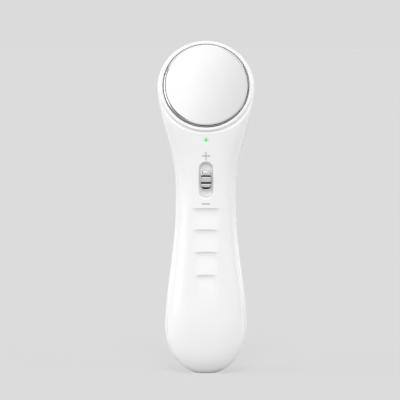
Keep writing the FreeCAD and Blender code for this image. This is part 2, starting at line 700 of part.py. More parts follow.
def make_switch_body():
    """Case of the slide switch, with the pocket that its lever slides in."""
    case = block(
        (-SWITCH_BODY_HALF_WIDTH, SWITCH_BODY_HALF_WIDTH),
        (SWITCH_BODY_FRONT_Y, BOARD_FRONT_Y),
        (SWITCH_HEIGHT - SWITCH_BODY_HALF_LENGTH, SWITCH_HEIGHT + SWITCH_BODY_HALF_LENGTH),
    )
    half_width = LEVER_HALF_WIDTH + SLIDE_GAP
    half_length = LEVER_HALF_LENGTH + SWITCH_TRAVEL + SLIDE_GAP
    pocket = block(
        (-half_width, half_width),
        (SWITCH_BODY_FRONT_Y - OVERRUN, SWITCH_BODY_FRONT_Y + LEVER_POCKET_DEPTH),
        (SWITCH_HEIGHT - half_length, SWITCH_HEIGHT + half_length),
    )
    return case.cut(pocket)


def make_circuit_board():
    """Board behind the switch, screwed to four bosses of the front cover."""
    board = rounded_panel(
        BOARD_HALF_WIDTH, (BOARD_BOTTOM, BOARD_TOP), BOARD_CORNER, (BOARD_FRONT_Y, BOARD_REAR_Y)
    )
    for x, z in BOARD_SCREW_PLACES:
        board = board.cut(depth_rod(BOARD_SHANK_RADIUS + SCREW_PASS, x, z, (-PARTING_FRONT, OVERRUN)))
    return board


def make_screw(place, seat_y, shank, head, cross):
    """Cross-head screw along Y: shank and head are (radius, length), cross is (half width, depth)."""
    x, z = place
    head_rear = seat_y + head[1]
    screw = depth_rod(head[0], x, z, (seat_y, head_rear))
    screw = screw.fuse(depth_rod(shank[0], x, z, (seat_y - shank[1], seat_y)))
    long_half = head[0] - cross[0] * 2
    depth_limits = (head_rear - cross[1], head_rear + OVERRUN)
    for half_x, half_z in ((long_half, cross[0]), (cross[0], long_half)):
        screw = screw.cut(block((x - half_x, x + half_x), depth_limits, (z - half_z, z + half_z)))
    return screw


def make_case_screws():
    """Four screws that pull the front cover's bosses onto the rear cover's posts."""
    shank = (SCREW_SHANK_RADIUS, SCREW_SHANK_LENGTH)
    head = (SCREW_HEAD_RADIUS, SCREW_HEAD_HEIGHT)
    cross = (SCREW_CROSS_HALF_WIDTH, SCREW_CROSS_DEPTH)
    screws = [make_screw(place, SCREW_SEAT_Y, shank, head, cross) for place in CASE_SCREW_PLACES]
    return Part.Compound(screws)


def make_board_screws():
    """Four screws that hold the circuit board."""
    shank = (BOARD_SHANK_RADIUS, BOARD_SHANK_LENGTH)
    head = (BOARD_HEAD_RADIUS, BOARD_HEAD_HEIGHT)
    cross = (SCREW_CROSS_HALF_WIDTH, SCREW_CROSS_DEPTH)
    screws = [make_screw(place, BOARD_REAR_Y, shank, head, cross) for place in BOARD_SCREW_PLACES]
    return Part.Compound(screws)


def make_indicator_led():
    """Small light on the front of the board."""
    return block(
        (-LED_HALF_WIDTH, LED_HALF_WIDTH),
        (BOARD_FRONT_Y - LED_THICKNESS, BOARD_FRONT_Y),
        (LED_HEIGHT - LED_HALF_LENGTH, LED_HEIGHT + LED_HALF_LENGTH),
    )


def make_light_pipe():
    """Clear pin that carries the light from the board to the front."""
    tip_y = skin_y(0, LED_HEIGHT, 0, True) - PIPE_PROUD
    flange_front = skin_y(0, LED_HEIGHT, WALL, True) + WALL
    flange_rear = BOARD_FRONT_Y - LED_THICKNESS - TOUCH_GAP
    pin = depth_rod(PIPE_RADIUS, 0, LED_HEIGHT, (tip_y, flange_front))
    tip_edges = [edge for edge in pin.Edges if edge.BoundBox.YMax - tip_y < PIPE_ROUND / 2]
    pin = pin.makeFillet(PIPE_ROUND, tip_edges)
    return pin.fuse(depth_rod(PIPE_FLANGE_RADIUS, 0, LED_HEIGHT, (flange_front, flange_rear)))


def make_control_chip():
    """Control chip on the back of the board."""
    return block(
        (-CHIP_HALF_WIDTH, CHIP_HALF_WIDTH),
        (BOARD_REAR_Y, BOARD_REAR_Y + CHIP_THICKNESS),
        (CHIP_HEIGHT - CHIP_HALF_LENGTH, CHIP_HEIGHT + CHIP_HALF_LENGTH),
    )


def make_boost_coil():
    """Drum coil on the back of the board: two flanges with the winding between them."""
    core = depth_rod(COIL_WINDING_RADIUS, COIL_X, COIL_HEIGHT, (BOARD_REAR_Y, BOARD_REAR_Y + COIL_LENGTH))
    for low in (BOARD_REAR_Y, BOARD_REAR_Y + COIL_LENGTH - COIL_FLANGE):
        core = core.fuse(depth_rod(COIL_FLANGE_RADIUS, COIL_X, COIL_HEIGHT, (low, low + COIL_FLANGE)))
    return core.removeSplitter()


def make_smoothing_capacitor():
    """Capacitor can on the back of the board."""
    end_y = BOARD_REAR_Y + CAPACITOR_LENGTH
    can = depth_rod(CAPACITOR_RADIUS, CAPACITOR_X, CAPACITOR_HEIGHT, (BOARD_REAR_Y, end_y))
    end_edges = [edge for edge in can.Edges if end_y - edge.BoundBox.YMin < CAPACITOR_ROUND / 2]
    return can.makeFillet(CAPACITOR_ROUND, end_edges)


def make_battery():
    """One AA cell with its positive nub upwards."""
    can_top = NUB_TOP - NUB_HEIGHT
    can = rod(BATTERY_RADIUS, Vector(0, BATTERY_Y, BATTERY_BOTTOM), Vector(0, BATTERY_Y, can_top))
    rims = [edge for edge in can.Edges if isinstance(edge.Curve, Part.Circle)]
    can = can.makeFillet(BATTERY_ROUND, rims)
    nub_root = Vector(0, BATTERY_Y, can_top - BATTERY_ROUND)
    return can.fuse(rod(NUB_RADIUS, nub_root, Vector(0, BATTERY_Y, NUB_TOP)))


def make_battery_tray():
    """Trough that holds the cell, open to the back, with a notch for each contact's tab."""
    tray = block(
        (-TRAY_HALF_WIDTH, TRAY_HALF_WIDTH),
        (TRAY_FRONT_Y, TRAY_RIM_Y),
        (BAY_BOTTOM - TRAY_END, BAY_TOP + TRAY_END),
    )
    axis_low = Vector(0, BATTERY_Y, BAY_BOTTOM)
    axis_high = Vector(0, BATTERY_Y, BAY_TOP)
    tray = tray.cut(rod(BAY_RADIUS, axis_low, axis_high))
    mouth = (BATTERY_Y, TRAY_RIM_Y + OVERRUN)
    tray = tray.cut(block((-BAY_RADIUS, BAY_RADIUS), mouth, (BAY_BOTTOM, BAY_TOP)))
    tab_half_width = CONTACT_TAB_HALF_WIDTH + TOUCH_GAP
    tray = tray.cut(block(
        (-tab_half_width, tab_half_width),
        (PLUS_TAB_Y[0] - TOUCH_GAP, PLUS_TAB_Y[1] + TOUCH_GAP),
        (BAY_TOP - TOUCH_GAP, BAY_TOP + TRAY_END + OVERRUN),
    ))
    return tray.cut(block(
        (-TRAY_HALF_WIDTH - OVERRUN, 0),
        (BATTERY_LEAD_Y - tab_half_width, BATTERY_LEAD_Y + tab_half_width),
        (BAY_BOTTOM, BAY_BOTTOM + CONTACT_SHEET + TOUCH_GAP),
    ))


def make_negative_contact():
    """Sheet under the spring, with a tab that comes out at the tray's left."""
    sheet = block(
        (-CONTACT_HALF_WIDTH, CONTACT_HALF_WIDTH),
        (BATTERY_Y - CONTACT_HALF_WIDTH, TRAY_RIM_Y),
        (BAY_BOTTOM, BAY_BOTTOM + CONTACT_SHEET),
    )
    tab = block(
        (MINUS_TAB_X, 0),
        (BATTERY_LEAD_Y - CONTACT_TAB_HALF_WIDTH, BATTERY_LEAD_Y + CONTACT_TAB_HALF_WIDTH),
        (BAY_BOTTOM, BAY_BOTTOM + CONTACT_SHEET),
    )
    return sheet.fuse(tab).removeSplitter()


def make_positive_contact():
    """Sheet above the cell's nub, with a tab that runs up to the back of the board."""
    sheet = block(
        (-CONTACT_HALF_WIDTH, CONTACT_HALF_WIDTH),
        (BATTERY_Y - CONTACT_HALF_WIDTH, TRAY_RIM_Y),
        (BAY_TOP - CONTACT_SHEET, BAY_TOP),
    )
    tab = block(
        (-CONTACT_TAB_HALF_WIDTH, CONTACT_TAB_HALF_WIDTH),
        PLUS_TAB_Y,
        (BAY_TOP - CONTACT_SHEET, BOARD_BOTTOM + CONTACT_TAB_LENGTH),
    )
    return sheet.fuse(tab)


def make_battery_spring():
    """Coil spring between the negative sheet and the cell."""
    room = SPRING_HEIGHT - 2 * SPRING_WIRE_RADIUS - 2 * TOUCH_GAP
    low = BAY_BOTTOM + CONTACT_SHEET + SPRING_WIRE_RADIUS + TOUCH_GAP
    path = Part.Wire(Part.makeHelix(room / SPRING_TURN_COUNT, room, SPRING_RADIUS))
    start = Vector(SPRING_RADIUS, 0, 0)
    ring = Part.Wire(Part.makeCircle(SPRING_WIRE_RADIUS, start, Vector(0, 1, 0)))
    spring = path.makePipeShell([ring], True, True)
    spring.translate(Vector(0, BATTERY_Y, low))
    return spring


def make_head_cup():
    """Collar that draws in towards the covers, with a floor for the plate and a spigot in their mouth."""
    cup = turned([
        (STUD_RADIUS + STUD_PASS, -CUP_RECESS),
        (CUP_RECESS_RADIUS, -CUP_RECESS),
        (CUP_RECESS_RADIUS, 0),
        (HEAD_RADIUS, 0),
        (HEAD_RADIUS - COLLAR_TAPER, -COLLAR_DEPTH),
        (SPIGOT_RADIUS, -COLLAR_DEPTH),
        (SPIGOT_RADIUS, -COLLAR_DEPTH - SPIGOT_LENGTH),
        (SPIGOT_RADIUS - SPIGOT_WALL, -COLLAR_DEPTH - SPIGOT_LENGTH),
        (SPIGOT_RADIUS - SPIGOT_WALL, -CUP_BACK),
        (STUD_RADIUS + STUD_PASS, -CUP_BACK),
    ])
    return in_head(cup.makeFillet(COLLAR_ROUND, circle_edges(cup, HEAD_RADIUS, 0)))


def make_electrode_plate():
    """Polished dish: crowned face, rounded edge, skirt down to the gasket and a stud through the cup."""
    skirt_end = GASKET_THICKNESS - CUP_RECESS
    face_radius = PLATE_RADIUS - PLATE_ROUND
    round_z = PLATE_PROUD - PLATE_ROUND
    bend = PLATE_ROUND * math.sqrt(1 / 2)
    crown_start = Vector(0, 0, PLATE_PROUD + PLATE_CROWN)
    crown_half = Vector(face_radius / 2, 0, PLATE_PROUD + PLATE_CROWN * 3 / 4)
    crown_end = Vector(face_radius, 0, PLATE_PROUD)
    bend_half = Vector(face_radius + bend, 0, round_z + bend)
    bend_end = Vector(PLATE_RADIUS, 0, round_z)
    corners = [
        bend_end,
        Vector(PLATE_RADIUS, 0, skirt_end),
        Vector(PLATE_RADIUS - PLATE_SHEET, 0, skirt_end),
        Vector(PLATE_RADIUS - PLATE_SHEET, 0, PLATE_PROUD - PLATE_ROUND),
        Vector(face_radius, 0, PLATE_PROUD - PLATE_SHEET),
        Vector(STUD_RADIUS, 0, PLATE_PROUD - PLATE_SHEET),
        Vector(STUD_RADIUS, 0, -NUT_BACK - STUD_SPARE),
        Vector(0, 0, -NUT_BACK - STUD_SPARE),
        crown_start,
    ]
    outline = [Part.Arc(crown_start, crown_half, crown_end).toShape()]
    outline.append(Part.Arc(crown_end, bend_half, bend_end).toShape())
    outline.extend(Part.makeLine(one, two) for one, two in zip(corners, corners[1:]))
    face = Part.Face(Part.Wire(outline))
    return in_head(face.revolve(Vector(0, 0, 0), Vector(0, 0, 1), 360))


def make_electrode_gasket():
    """Soft ring between the plate's skirt and the cup's floor."""
    inner = PLATE_RADIUS - GASKET_WIDTH
    return in_head(turned([
        (inner, -CUP_RECESS),
        (PLATE_RADIUS, -CUP_RECESS),
        (PLATE_RADIUS, GASKET_THICKNESS - CUP_RECESS),
        (inner, GASKET_THICKNESS - CUP_RECESS),
    ]))


def make_electrode_terminal():
    """Ring lug on the plate's stud, with a tail for the lead."""
    ring = rod(LUG_RADIUS, Vector(0, 0, -LUG_BACK), Vector(0, 0, -CUP_BACK))
    tail = block((-LUG_TAIL_HALF_WIDTH, LUG_TAIL_HALF_WIDTH), (-LUG_TAIL_LENGTH, 0), (-LUG_BACK, -CUP_BACK))
    stud_pass = rod(STUD_RADIUS + TOUCH_GAP, Vector(0, 0, -REACH), Vector(0, 0, 0))
    return in_head(ring.fuse(tail).removeSplitter().cut(stud_pass))


def make_electrode_nut():
    """Hexagon nut that pulls the plate against its gasket."""
    corner_radius = NUT_FLATS / math.sqrt(3)
    points = []
    for index in range(7):
        angle = math.pi / 3 * index
        points.append(Vector(corner_radius * math.cos(angle), corner_radius * math.sin(angle), -NUT_BACK))
    nut = Part.Face(Part.makePolygon(points)).extrude(Vector(0, 0, NUT_HEIGHT))
    return in_head(nut.cut(rod(STUD_RADIUS + SCREW_FIT, Vector(0, 0, -REACH), Vector(0, 0, 0))))


def make_motor_can():
    """Can of the vibration motor with the bearing nose that its shaft turns in."""
    can = rod(MOTOR_RADIUS, motor_point(MOTOR_LEFT), motor_point(MOTOR_RIGHT))
    rims = [edge for edge in can.Edges if isinstance(edge.Curve, Part.Circle)]
    can = can.makeFillet(MOTOR_ROUND, rims)
    can = can.fuse(rod(MOTOR_NOSE_RADIUS, motor_point(MOTOR_RIGHT - MOTOR_ROUND), motor_point(NOSE_RIGHT)))
    bore_left = motor_point(NOSE_RIGHT - SHAFT_DEPTH)
    return in_head(can.cut(rod(SHAFT_RADIUS + SHAFT_FIT, bore_left, motor_point(NOSE_RIGHT + OVERRUN))))


def make_motor_shaft():
    """Shaft of the motor, from its bearing to the end of the weight."""
    left = motor_point(NOSE_RIGHT - SHAFT_DEPTH + TOUCH_GAP)
    return in_head(rod(SHAFT_RADIUS, left, motor_point(WEIGHT_RIGHT)))


def make_eccentric_weight():
    """Half disc with a hub on the motor's shaft."""
    disc = rod(WEIGHT_RADIUS, motor_point(WEIGHT_LEFT), motor_point(WEIGHT_RIGHT))
    upper = block((0, REACH), (MOTOR_RISE, REACH), (-REACH, 0))
    hub = rod(WEIGHT_HUB_RADIUS, motor_point(WEIGHT_LEFT), motor_point(WEIGHT_RIGHT))
    bore = rod(SHAFT_RADIUS, motor_point(0), motor_point(WEIGHT_RIGHT + OVERRUN))
    return in_head(disc.cut(upper).fuse(hub).removeSplitter().cut(bore))


def make_motor_cradle():
    """Soft block on the cup's floor with a trough for the motor."""
    half_height = MOTOR_RADIUS + CRADLE_SIDE
    cradle = block(
        (MOTOR_LEFT + CRADLE_INSET, MOTOR_RIGHT - CRADLE_INSET / 2),
        (MOTOR_RISE - half_height, MOTOR_RISE + half_height),
        (-MOTOR_DEPTH, -CUP_BACK),
    )
    trough_left = motor_point(MOTOR_LEFT - OVERRUN)
    trough_right = motor_point(MOTOR_RIGHT + OVERRUN)
    return in_head(cradle.cut(rod(MOTOR_RADIUS + CRADLE_FIT, trough_left, trough_right)))


def make_electrode_lead():
    """Lead from the lug's tail down to the board."""
    out = -LUG_BACK - LEAD_RADIUS
    board_y = BOARD_REAR_Y + LEAD_RADIUS + LEAD_LIFT
    return lead([
        head_point(0, -ELECTRODE_LEAD_START, out),
        head_point(0, -ELECTRODE_LEAD_TURN, out),
        Vector(ELECTRODE_LEAD_X, board_y, BOARD_TOP + HEAD_LEAD_TURN / 2),
        Vector(ELECTRODE_LEAD_X, board_y, BOARD_TOP - LEAD_LAP),
    ])


def make_motor_leads():
    """Two leads from the motor's left end down to the board."""
    board_y = BOARD_REAR_Y + LEAD_RADIUS + LEAD_LIFT
    end = head_point(MOTOR_LEFT, MOTOR_RISE, -MOTOR_DEPTH)
    leads = []
    for index, side in enumerate((-1, 1)):
        start = end + Vector(0, 0, side * MOTOR_LEAD_PITCH / 2)
        outside = start - Vector(MOTOR_LEAD_OUT + index * MOTOR_LEAD_PITCH, 0, 0)
        board_x = MOTOR_LEAD_X - index * MOTOR_LEAD_PITCH
        leads.append(lead([
            start,
            outside,
            Vector(outside.x, outside.y, BOARD_TOP + HEAD_LEAD_TURN),
            Vector(board_x, board_y, BOARD_TOP + HEAD_LEAD_TURN / 2),
            Vector(board_x, board_y, BOARD_TOP - LEAD_LAP),
        ]))
    return Part.Compound(leads)


def make_battery_lead():
    """Lead from the negative tab, up beside the tray and onto the back of the board."""
    side_x = MINUS_TAB_X + LEAD_RADIUS + TOUCH_GAP
    height = BOARD_BOTTOM + BATTERY_LEAD_RISE
    back_y = BOARD_REAR_Y + BATTERY_LEAD_BACK
    return lead([
        Vector(side_x, BATTERY_LEAD_Y, BAY_BOTTOM + CONTACT_SHEET),
        Vector(side_x, BATTERY_LEAD_Y, height),
        Vector(side_x, back_y, height),
        Vector(BATTERY_LEAD_X, back_y, height),
        Vector(BATTERY_LEAD_X, BOARD_REAR_Y, height),
    ])


def make_contact_lead():
    """Lead from the lower stud of the metal strip to the back of the board."""
    start_z = STRIP_STUD_HEIGHTS[0]
    turn_y = BOARD_REAR_Y + STRIP_LEAD_BACK
    return lead([
        Vector(0, skin_y(0, start_z, WALL, False) - STRIP_STUD_PROUD, start_z),
        Vector(0, turn_y, start_z),
        Vector(0, turn_y, start_z + STRIP_LEAD_RISE),
        Vector(0, BOARD_REAR_Y, start_z + STRIP_LEAD_RISE),
    ])


def make_nodes():
    """Every piece of the object by its node's name."""
    outer = form(0)
    core = form(WALL / 2)
    inner = form(WALL)
    strip_floor = form(STRIP_THICKNESS)
    shell = outer.cut(inner)
    return {
        "front_cover": make_front_cover(shell, core),
        "rear_cover": make_rear_cover(shell, core, strip_floor),
        "battery_door": make_battery_door(outer, core, inner),
        "hand_contact": make_hand_contact(outer, strip_floor),
        "switch_knob": make_switch_knob(),
        "switch_shutter": make_switch_shutter(),
        "switch_lever": make_switch_lever(),
        "switch_body": make_switch_body(),
        "circuit_board": make_circuit_board(),
        "board_screws": make_board_screws(),
        "case_screws": make_case_screws(),
        "indicator_led": make_indicator_led(),
        "light_pipe": make_light_pipe(),
        "control_chip": make_control_chip(),
        "boost_coil": make_boost_coil(),
        "smoothing_capacitor": make_smoothing_capacitor(),
        "battery": make_battery(),
        "battery_tray": make_battery_tray(),
        "battery_spring": make_battery_spring(),
        "negative_contact": make_negative_contact(),
        "positive_contact": make_positive_contact(),
        "head_cup": make_head_cup(),
        "electrode_plate": make_electrode_plate(),
        "electrode_gasket": make_electrode_gasket(),
        "electrode_terminal": make_electrode_terminal(),
        "electrode_nut": make_electrode_nut(),
        "motor_can": make_motor_can(),
        "motor_shaft": make_motor_shaft(),
        "eccentric_weight": make_eccentric_weight(),
        "motor_cradle": make_motor_cradle(),
        "electrode_lead": make_electrode_lead(),
        "motor_leads": make_motor_leads(),
        "battery_lead": make_battery_lead(),
        "contact_lead": make_contact_lead(),
    }


os.makedirs("parts", exist_ok=True)
for name, shape in make_nodes().items():
    shape.exportStep(f"parts/{name}.step")
hinge_y = skin_y(0, DOOR_BOTTOM, 0, False)
motor_axis = head_point(0, MOTOR_RISE, -MOTOR_DEPTH)
print(f"door hinge: y {hinge_y:.4f} z {DOOR_BOTTOM:.4f}")
print(f"motor axis: y {motor_axis.y:.4f} z {motor_axis.z:.4f}")
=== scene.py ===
"""Looks of the facial massager: finishes, soft finger steps, printed marks, studio and camera.

Sizes are in millimetres where a name doesn't say metres, and a new mesh turns them to metres. The front
faces -Y.
"""

import logging
import math
from dataclasses import dataclass, replace
from enum import Enum

import bpy
import numpy as np
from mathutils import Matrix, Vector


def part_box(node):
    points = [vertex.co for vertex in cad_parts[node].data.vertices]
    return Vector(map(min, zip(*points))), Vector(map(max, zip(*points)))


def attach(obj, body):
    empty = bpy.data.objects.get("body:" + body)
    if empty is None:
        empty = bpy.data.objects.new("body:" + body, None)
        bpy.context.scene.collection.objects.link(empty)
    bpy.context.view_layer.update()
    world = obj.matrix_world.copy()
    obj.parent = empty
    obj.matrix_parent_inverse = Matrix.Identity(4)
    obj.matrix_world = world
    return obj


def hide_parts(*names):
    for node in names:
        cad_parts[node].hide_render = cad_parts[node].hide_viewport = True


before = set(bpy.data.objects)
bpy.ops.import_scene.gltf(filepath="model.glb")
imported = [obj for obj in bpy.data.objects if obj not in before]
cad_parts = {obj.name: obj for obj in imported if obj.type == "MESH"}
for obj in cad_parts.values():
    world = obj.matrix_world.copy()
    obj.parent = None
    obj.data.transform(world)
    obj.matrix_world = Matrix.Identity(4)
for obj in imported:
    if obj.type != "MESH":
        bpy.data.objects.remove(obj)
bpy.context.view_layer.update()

MM = 0.001
TINY = 1e-9
LOG = logging.getLogger("facial_massager")

# Height of the green light on the front.
LIGHT_HEIGHT = 114.8
# Inputs and output of a colour mix, by number because other sockets share their names.
MIX_FACTOR, MIX_FIRST, MIX_SECOND, MIX_RESULT = 0, 6, 7, 2
# Most values of a noise lie between these two.
NOISE_LOW, NOISE_HIGH = 0.3, 0.7
# Period of a wave pattern at scale 1, in metres.
WAVE_PERIOD_M = 2 * math.pi / 20

Tree = bpy.types.NodeTree
Socket = bpy.types.NodeSocket
Inputs = dict[str | int, object]
Point = tuple[float, float, float]


class Body(Enum):
    """Bodies of the frame that the new pieces ride on."""

    HOUSING = "housing"
    SLIDER = "switch_slider"


class Lines(Enum):
    """How the polishing lines of a metal run."""

    RINGS = "RINGS"
    BANDS = "BANDS"


def linear(hex_colour: str) -> tuple[float, float, float, float]:
    """Turns an sRGB hex colour into linear RGBA, by the sRGB curve.

    Args:
        hex_colour: six hex digits after a hash sign.

    Returns:
        Red, green, blue and an alpha of 1, each from 0 to 1.
    """
    levels = np.array([int(hex_colour[start : start + 2], 16) for start in (1, 3, 5)]) / 255
    values = np.where(levels <= 0.04045, levels / 12.92, ((levels + 0.055) / 1.055) ** 2.4)
    return (*values.tolist(), 1.0)


def empty_tree(holder: bpy.types.Material | bpy.types.World) -> Tree:
    """Turns on the nodes of a new material or world.

    Args:
        holder: the material or world.

    Returns:
        Its tree, cleared.
    """
    holder.use_nodes = True
    holder.node_tree.nodes.clear()
    return holder.node_tree


def add_node(tree: Tree, kind: str, inputs: Inputs | None = None, **settings: object) -> bpy.types.Node:
    """Adds one node with its settings and links.

    Args:
        tree: tree that takes the node.
        kind: type of the node, without the prefix that all types here share.
        inputs: a value or an output socket for each input, by its name or number.
        settings: the node's own properties.

    Returns:
        The new node.
    """
    node = tree.nodes.new("ShaderNode" + kind)
    for name, value in settings.items():
        setattr(node, name, value)
    for name, value in (inputs or {}).items():
        if isinstance(value, Socket):
            tree.links.new(value, node.inputs[name])
        else:
            node.inputs[name].default_value = value
    return node


def add_object(name: str, data: bpy.types.ID) -> bpy.types.Object:
    """Makes an object and links it to the scene.

    Args:
        name: name of the object.
        data: its mesh, lamp or camera.

    Returns:
        The object.
    """
    made = bpy.data.objects.new(name, data)
    bpy.context.scene.collection.objects.link(made)
    return made


def new_piece(name: str, points: np.ndarray, faces: np.ndarray) -> bpy.types.Object:
    """Makes an object from whole arrays, without the points that no face uses.

    Args:
        name: name of the piece.
        points: one row of x, y, z per point, in millimetres.
        faces: one row of point numbers per face, turned so that the face points outwards.

    Returns:
        The object, with smooth faces.
    """
    used, numbers = np.unique(faces, return_inverse=True)
    mesh = bpy.data.meshes.new(name)
    mesh.from_pydata((points[used] * MM).tolist(), [], numbers.reshape(faces.shape).tolist())
    mesh.polygons.foreach_set("use_smooth", np.ones(len(faces), bool))
    mesh.update()
    return add_object(name, mesh)


def grid_faces(rows: int, columns: int) -> np.ndarray:
    """Quads of a grid of points that are numbered row by row.

    Args:
        rows: number of rows of points.
        columns: number of points in a row.

    Returns:
        Four point numbers per quad, row by row of quads.
    """
    first = np.arange((rows - 1) * columns).reshape(rows - 1, columns)[:, :-1].ravel()
    return np.stack([first, first + 1, first + columns + 1, first + columns], axis=1)


def tube_faces(rows: int, columns: int) -> np.ndarray:
    """Quads of a closed tube whose rings are numbered one after another, with both ends filled.

    An end ring is filled by strips of quads that join each point to the one across it.

    Args:
        rows: number of rings, each turning to the left about the way that the tube runs.
        columns: number of points in a ring, an even number.

    Returns:
        Four point numbers per quad, facing outwards.
    """
    ring = np.arange((rows - 1) * columns)
    onward = ring // columns * columns + (ring + 1) % columns
    sides = np.stack([ring, onward, onward + columns, ring + columns], axis=1)
    first = np.arange(columns // 2 - 1)
    last = columns - 1 - first
    start = np.stack([first, last, last - 1, first + 1], axis=1)
    return np.vstack([sides, start, start[:, ::-1] + (rows - 1) * columns])


def ring_angles(columns: int) -> np.ndarray:
    """Even angles round a ring, half a step off the axes so that its halves match."""
    return (np.arange(columns) + 0.5) * 2 * math.pi / columns


def rounded(share: np.ndarray, power: np.ndarray | float) -> np.ndarray:
    """Curve that falls from 1 at a share of 0 to 0 at a share of 1 or -1: (1 - |share|^p)^(1 / p)."""
    return np.clip(1 - np.abs(share) ** power, 0, 1) ** (1 / power)


def leaned(angle_deg: float) -> tuple[np.ndarray, np.ndarray]:
    """Directions of a front that leans back: out of it, (0, -cos, sin), and up along it, (0, sin, cos).

    Args:
        angle_deg: how far it leans from upright.

    Returns:
        Both unit directions.
    """
    angle = math.radians(angle_deg)
    out = np.array([0.0, -math.cos(angle), math.sin(angle)])
    return out, np.array([0.0, math.sin(angle), math.cos(angle)])


@dataclass(frozen=True)
class OuterForm:
    """Front of the handle's outer form, as level sections with rounded corners.

    A section at height z is the curve |x / width|^p + |(y - middle) / depth|^p = 1. It is a dome up to the
    bulge, then eases to the waist and on to the head, whose middle line leans back by the head's tilt.
    """

    foot_half_width: float = 5.4
    bulge_height: float = 22.4
    bulge_half_width: float = 20.3
    bulge_front: float = 13.0
    waist_height: float = 88.0
    waist_half_width: float = 14.95
    waist_front: float = 11.0
    head_height: float = 141.2645
    head_front: float = 6.4
    head_tilt_deg: float = 18.0
    crown_radius: float = 23.75
    crown_front: float = 13.9
    crown_setback: float = 1.6
    collar_depth: float = 1.4
    handle_power: float = 2.5
    crown_power: float = 2.1
    ease_power: float = 1.2

    def head_centre(self) -> np.ndarray:
        """Middle of the collar's front, on the head's axis."""
        return np.array([0.0, -self.head_front, self.head_height])

    def ease(self, share: np.ndarray) -> np.ndarray:
        """Smooth step from 0 to 1: with q the share to the ease's power, it is q squared times 3 - 2q."""
        late = np.clip(share, 0, 1) ** self.ease_power
        return late**2 * (3 - 2 * late)

    def section(self, height: np.ndarray) -> tuple[np.ndarray, np.ndarray, np.ndarray, np.ndarray]:
        """Half width, middle line, depth before it and corner power at heights.

        Args:
            height: heights above the foot.

        Returns:
            Four arrays of the heights' shape.
        """
        out, _ = leaned(self.head_tilt_deg)
        behind = self.collar_depth + self.crown_setback
        _, crown_middle, crown_height = self.head_centre() - behind * out
        dome = self.bulge_height / math.sqrt(1 - (self.foot_half_width / self.bulge_half_width) ** 2)
        drop = np.clip((self.bulge_height - height) / dome, 0, 1)
        below = self.ease((self.waist_height - height) / (self.waist_height - self.bulge_height))
        above = self.ease((height - self.waist_height) / (crown_height - self.waist_height))
        lean = (height - crown_height) * math.tan(math.radians(self.head_tilt_deg))
        middle = (crown_middle + lean) * above
        width = (
            self.waist_half_width
            + (self.bulge_half_width - self.waist_half_width) * below
            + (self.crown_radius - self.waist_half_width) * above
        )
        depth = (
            self.waist_front
            + (self.bulge_front - self.waist_front) * below
            + (self.crown_front - self.waist_front) * above
            + middle
        )
        power = self.handle_power + (self.crown_power - self.handle_power) * above
        return width * np.sqrt(1 - drop**2), middle, depth * rounded(drop, power), power

    def front_y(self, across: np.ndarray, height: np.ndarray) -> np.ndarray:
        """Y of the front at places across and heights, from the section's curve."""
        width, middle, depth, power = self.section(height)
        return middle - depth * rounded(across / width, power)


FORM = OuterForm()


@dataclass(frozen=True)
class Finish:
    """A material's name, with a way to make it."""

    name: str

    def shade(self, tree: Tree, place: Socket) -> Inputs:
        """Works out the surface.

        Args:
            tree: the material's nodes.
            place: Object coordinates, in metres.

        Returns:
            A value or an output socket for each input of the surface's shader.
        """
        raise NotImplementedError

    def material(self) -> bpy.types.Material:
        """Material of this finish, made the first time that it is asked for.

        Returns:
            The material, marked as a finish.
        """
        made = bpy.data.materials.get(self.name)
        if made is not None and made.get("finish"):
            return made
        made = bpy.data.materials.new(self.name)
        made["finish"] = True
        tree = empty_tree(made)
        place = add_node(tree, "TexCoord").outputs["Object"]
        shader = add_node(tree, "BsdfPrincipled", self.shade(tree, place))
        add_node(tree, "OutputMaterial", {"Surface": shader.outputs["BSDF"]})
        return made


@dataclass(frozen=True)
class CloudedFinish(Finish):
    """Finish whose colour and gloss vary a little in slow clouds."""

    colour: str
    clouded: str
    roughness: float

    def clouds(self, tree: Tree, place: Socket, size_mm: float, detail: float, spread: float) -> Inputs:
        """Lets a noise mix both colours and vary the roughness.

        Args:
            tree: the material's nodes.
            place: Object coordinates, in metres.
            size_mm: size of a cloud.
            detail: how much finer noise lies in it.
            spread: share by which the roughness goes down and up.

        Returns:
            The shader's colour and roughness.
        """
        noise = add_node(tree, "TexNoise", {"Vector": place, "Scale": 1 / (size_mm * MM), "Detail": detail})
        cloud = noise.outputs["Fac"]
        colour = add_node(tree, "Mix", {
            MIX_FACTOR: cloud, MIX_FIRST: linear(self.colour), MIX_SECOND: linear(self.clouded),
        }, data_type="RGBA")
        gloss = add_node(tree, "MapRange", {
            "Value": cloud,
            "From Min": NOISE_LOW,
            "From Max": NOISE_HIGH,
            "To Min": self.roughness * (1 - spread),
            "To Max": self.roughness * (1 + spread),
        })
        return {"Base Color": colour.outputs[MIX_RESULT], "Roughness": gloss.outputs["Result"]}


@dataclass(frozen=True)
class MouldedPlastic(CloudedFinish):
    """Plastic from a mould.

    The melt's flow leaves slow waves and the mould's surface a fine grain, so the colour is nearly even and
    the highlights are soft-edged and a little uneven.
    """

    ior: float
    wave_mm: float = 7.0
    grain_mm: float = 0.6
    grain_depth_mm: float = 0.002
    wave_detail: float = 2.0
    grain_detail: float = 3.0
    gloss_spread: float = 0.15

    def shade(self, tree: Tree, place: Socket) -> Inputs:
        """Slow waves in colour and gloss, and a fine grain in relief. Args and Returns as in Finish."""
        surface = self.clouds(tree, place, self.wave_mm, self.wave_detail, self.gloss_spread)
        grain = add_node(tree, "TexNoise", {
            "Vector": place, "Scale": 1 / (self.grain_mm * MM), "Detail": self.grain_detail,
        })
        relief = add_node(tree, "Bump", {
            "Height": grain.outputs["Fac"], "Distance": self.grain_depth_mm * MM,
        })
        return surface | {"IOR": self.ior, "Normal": relief.outputs["Normal"]}


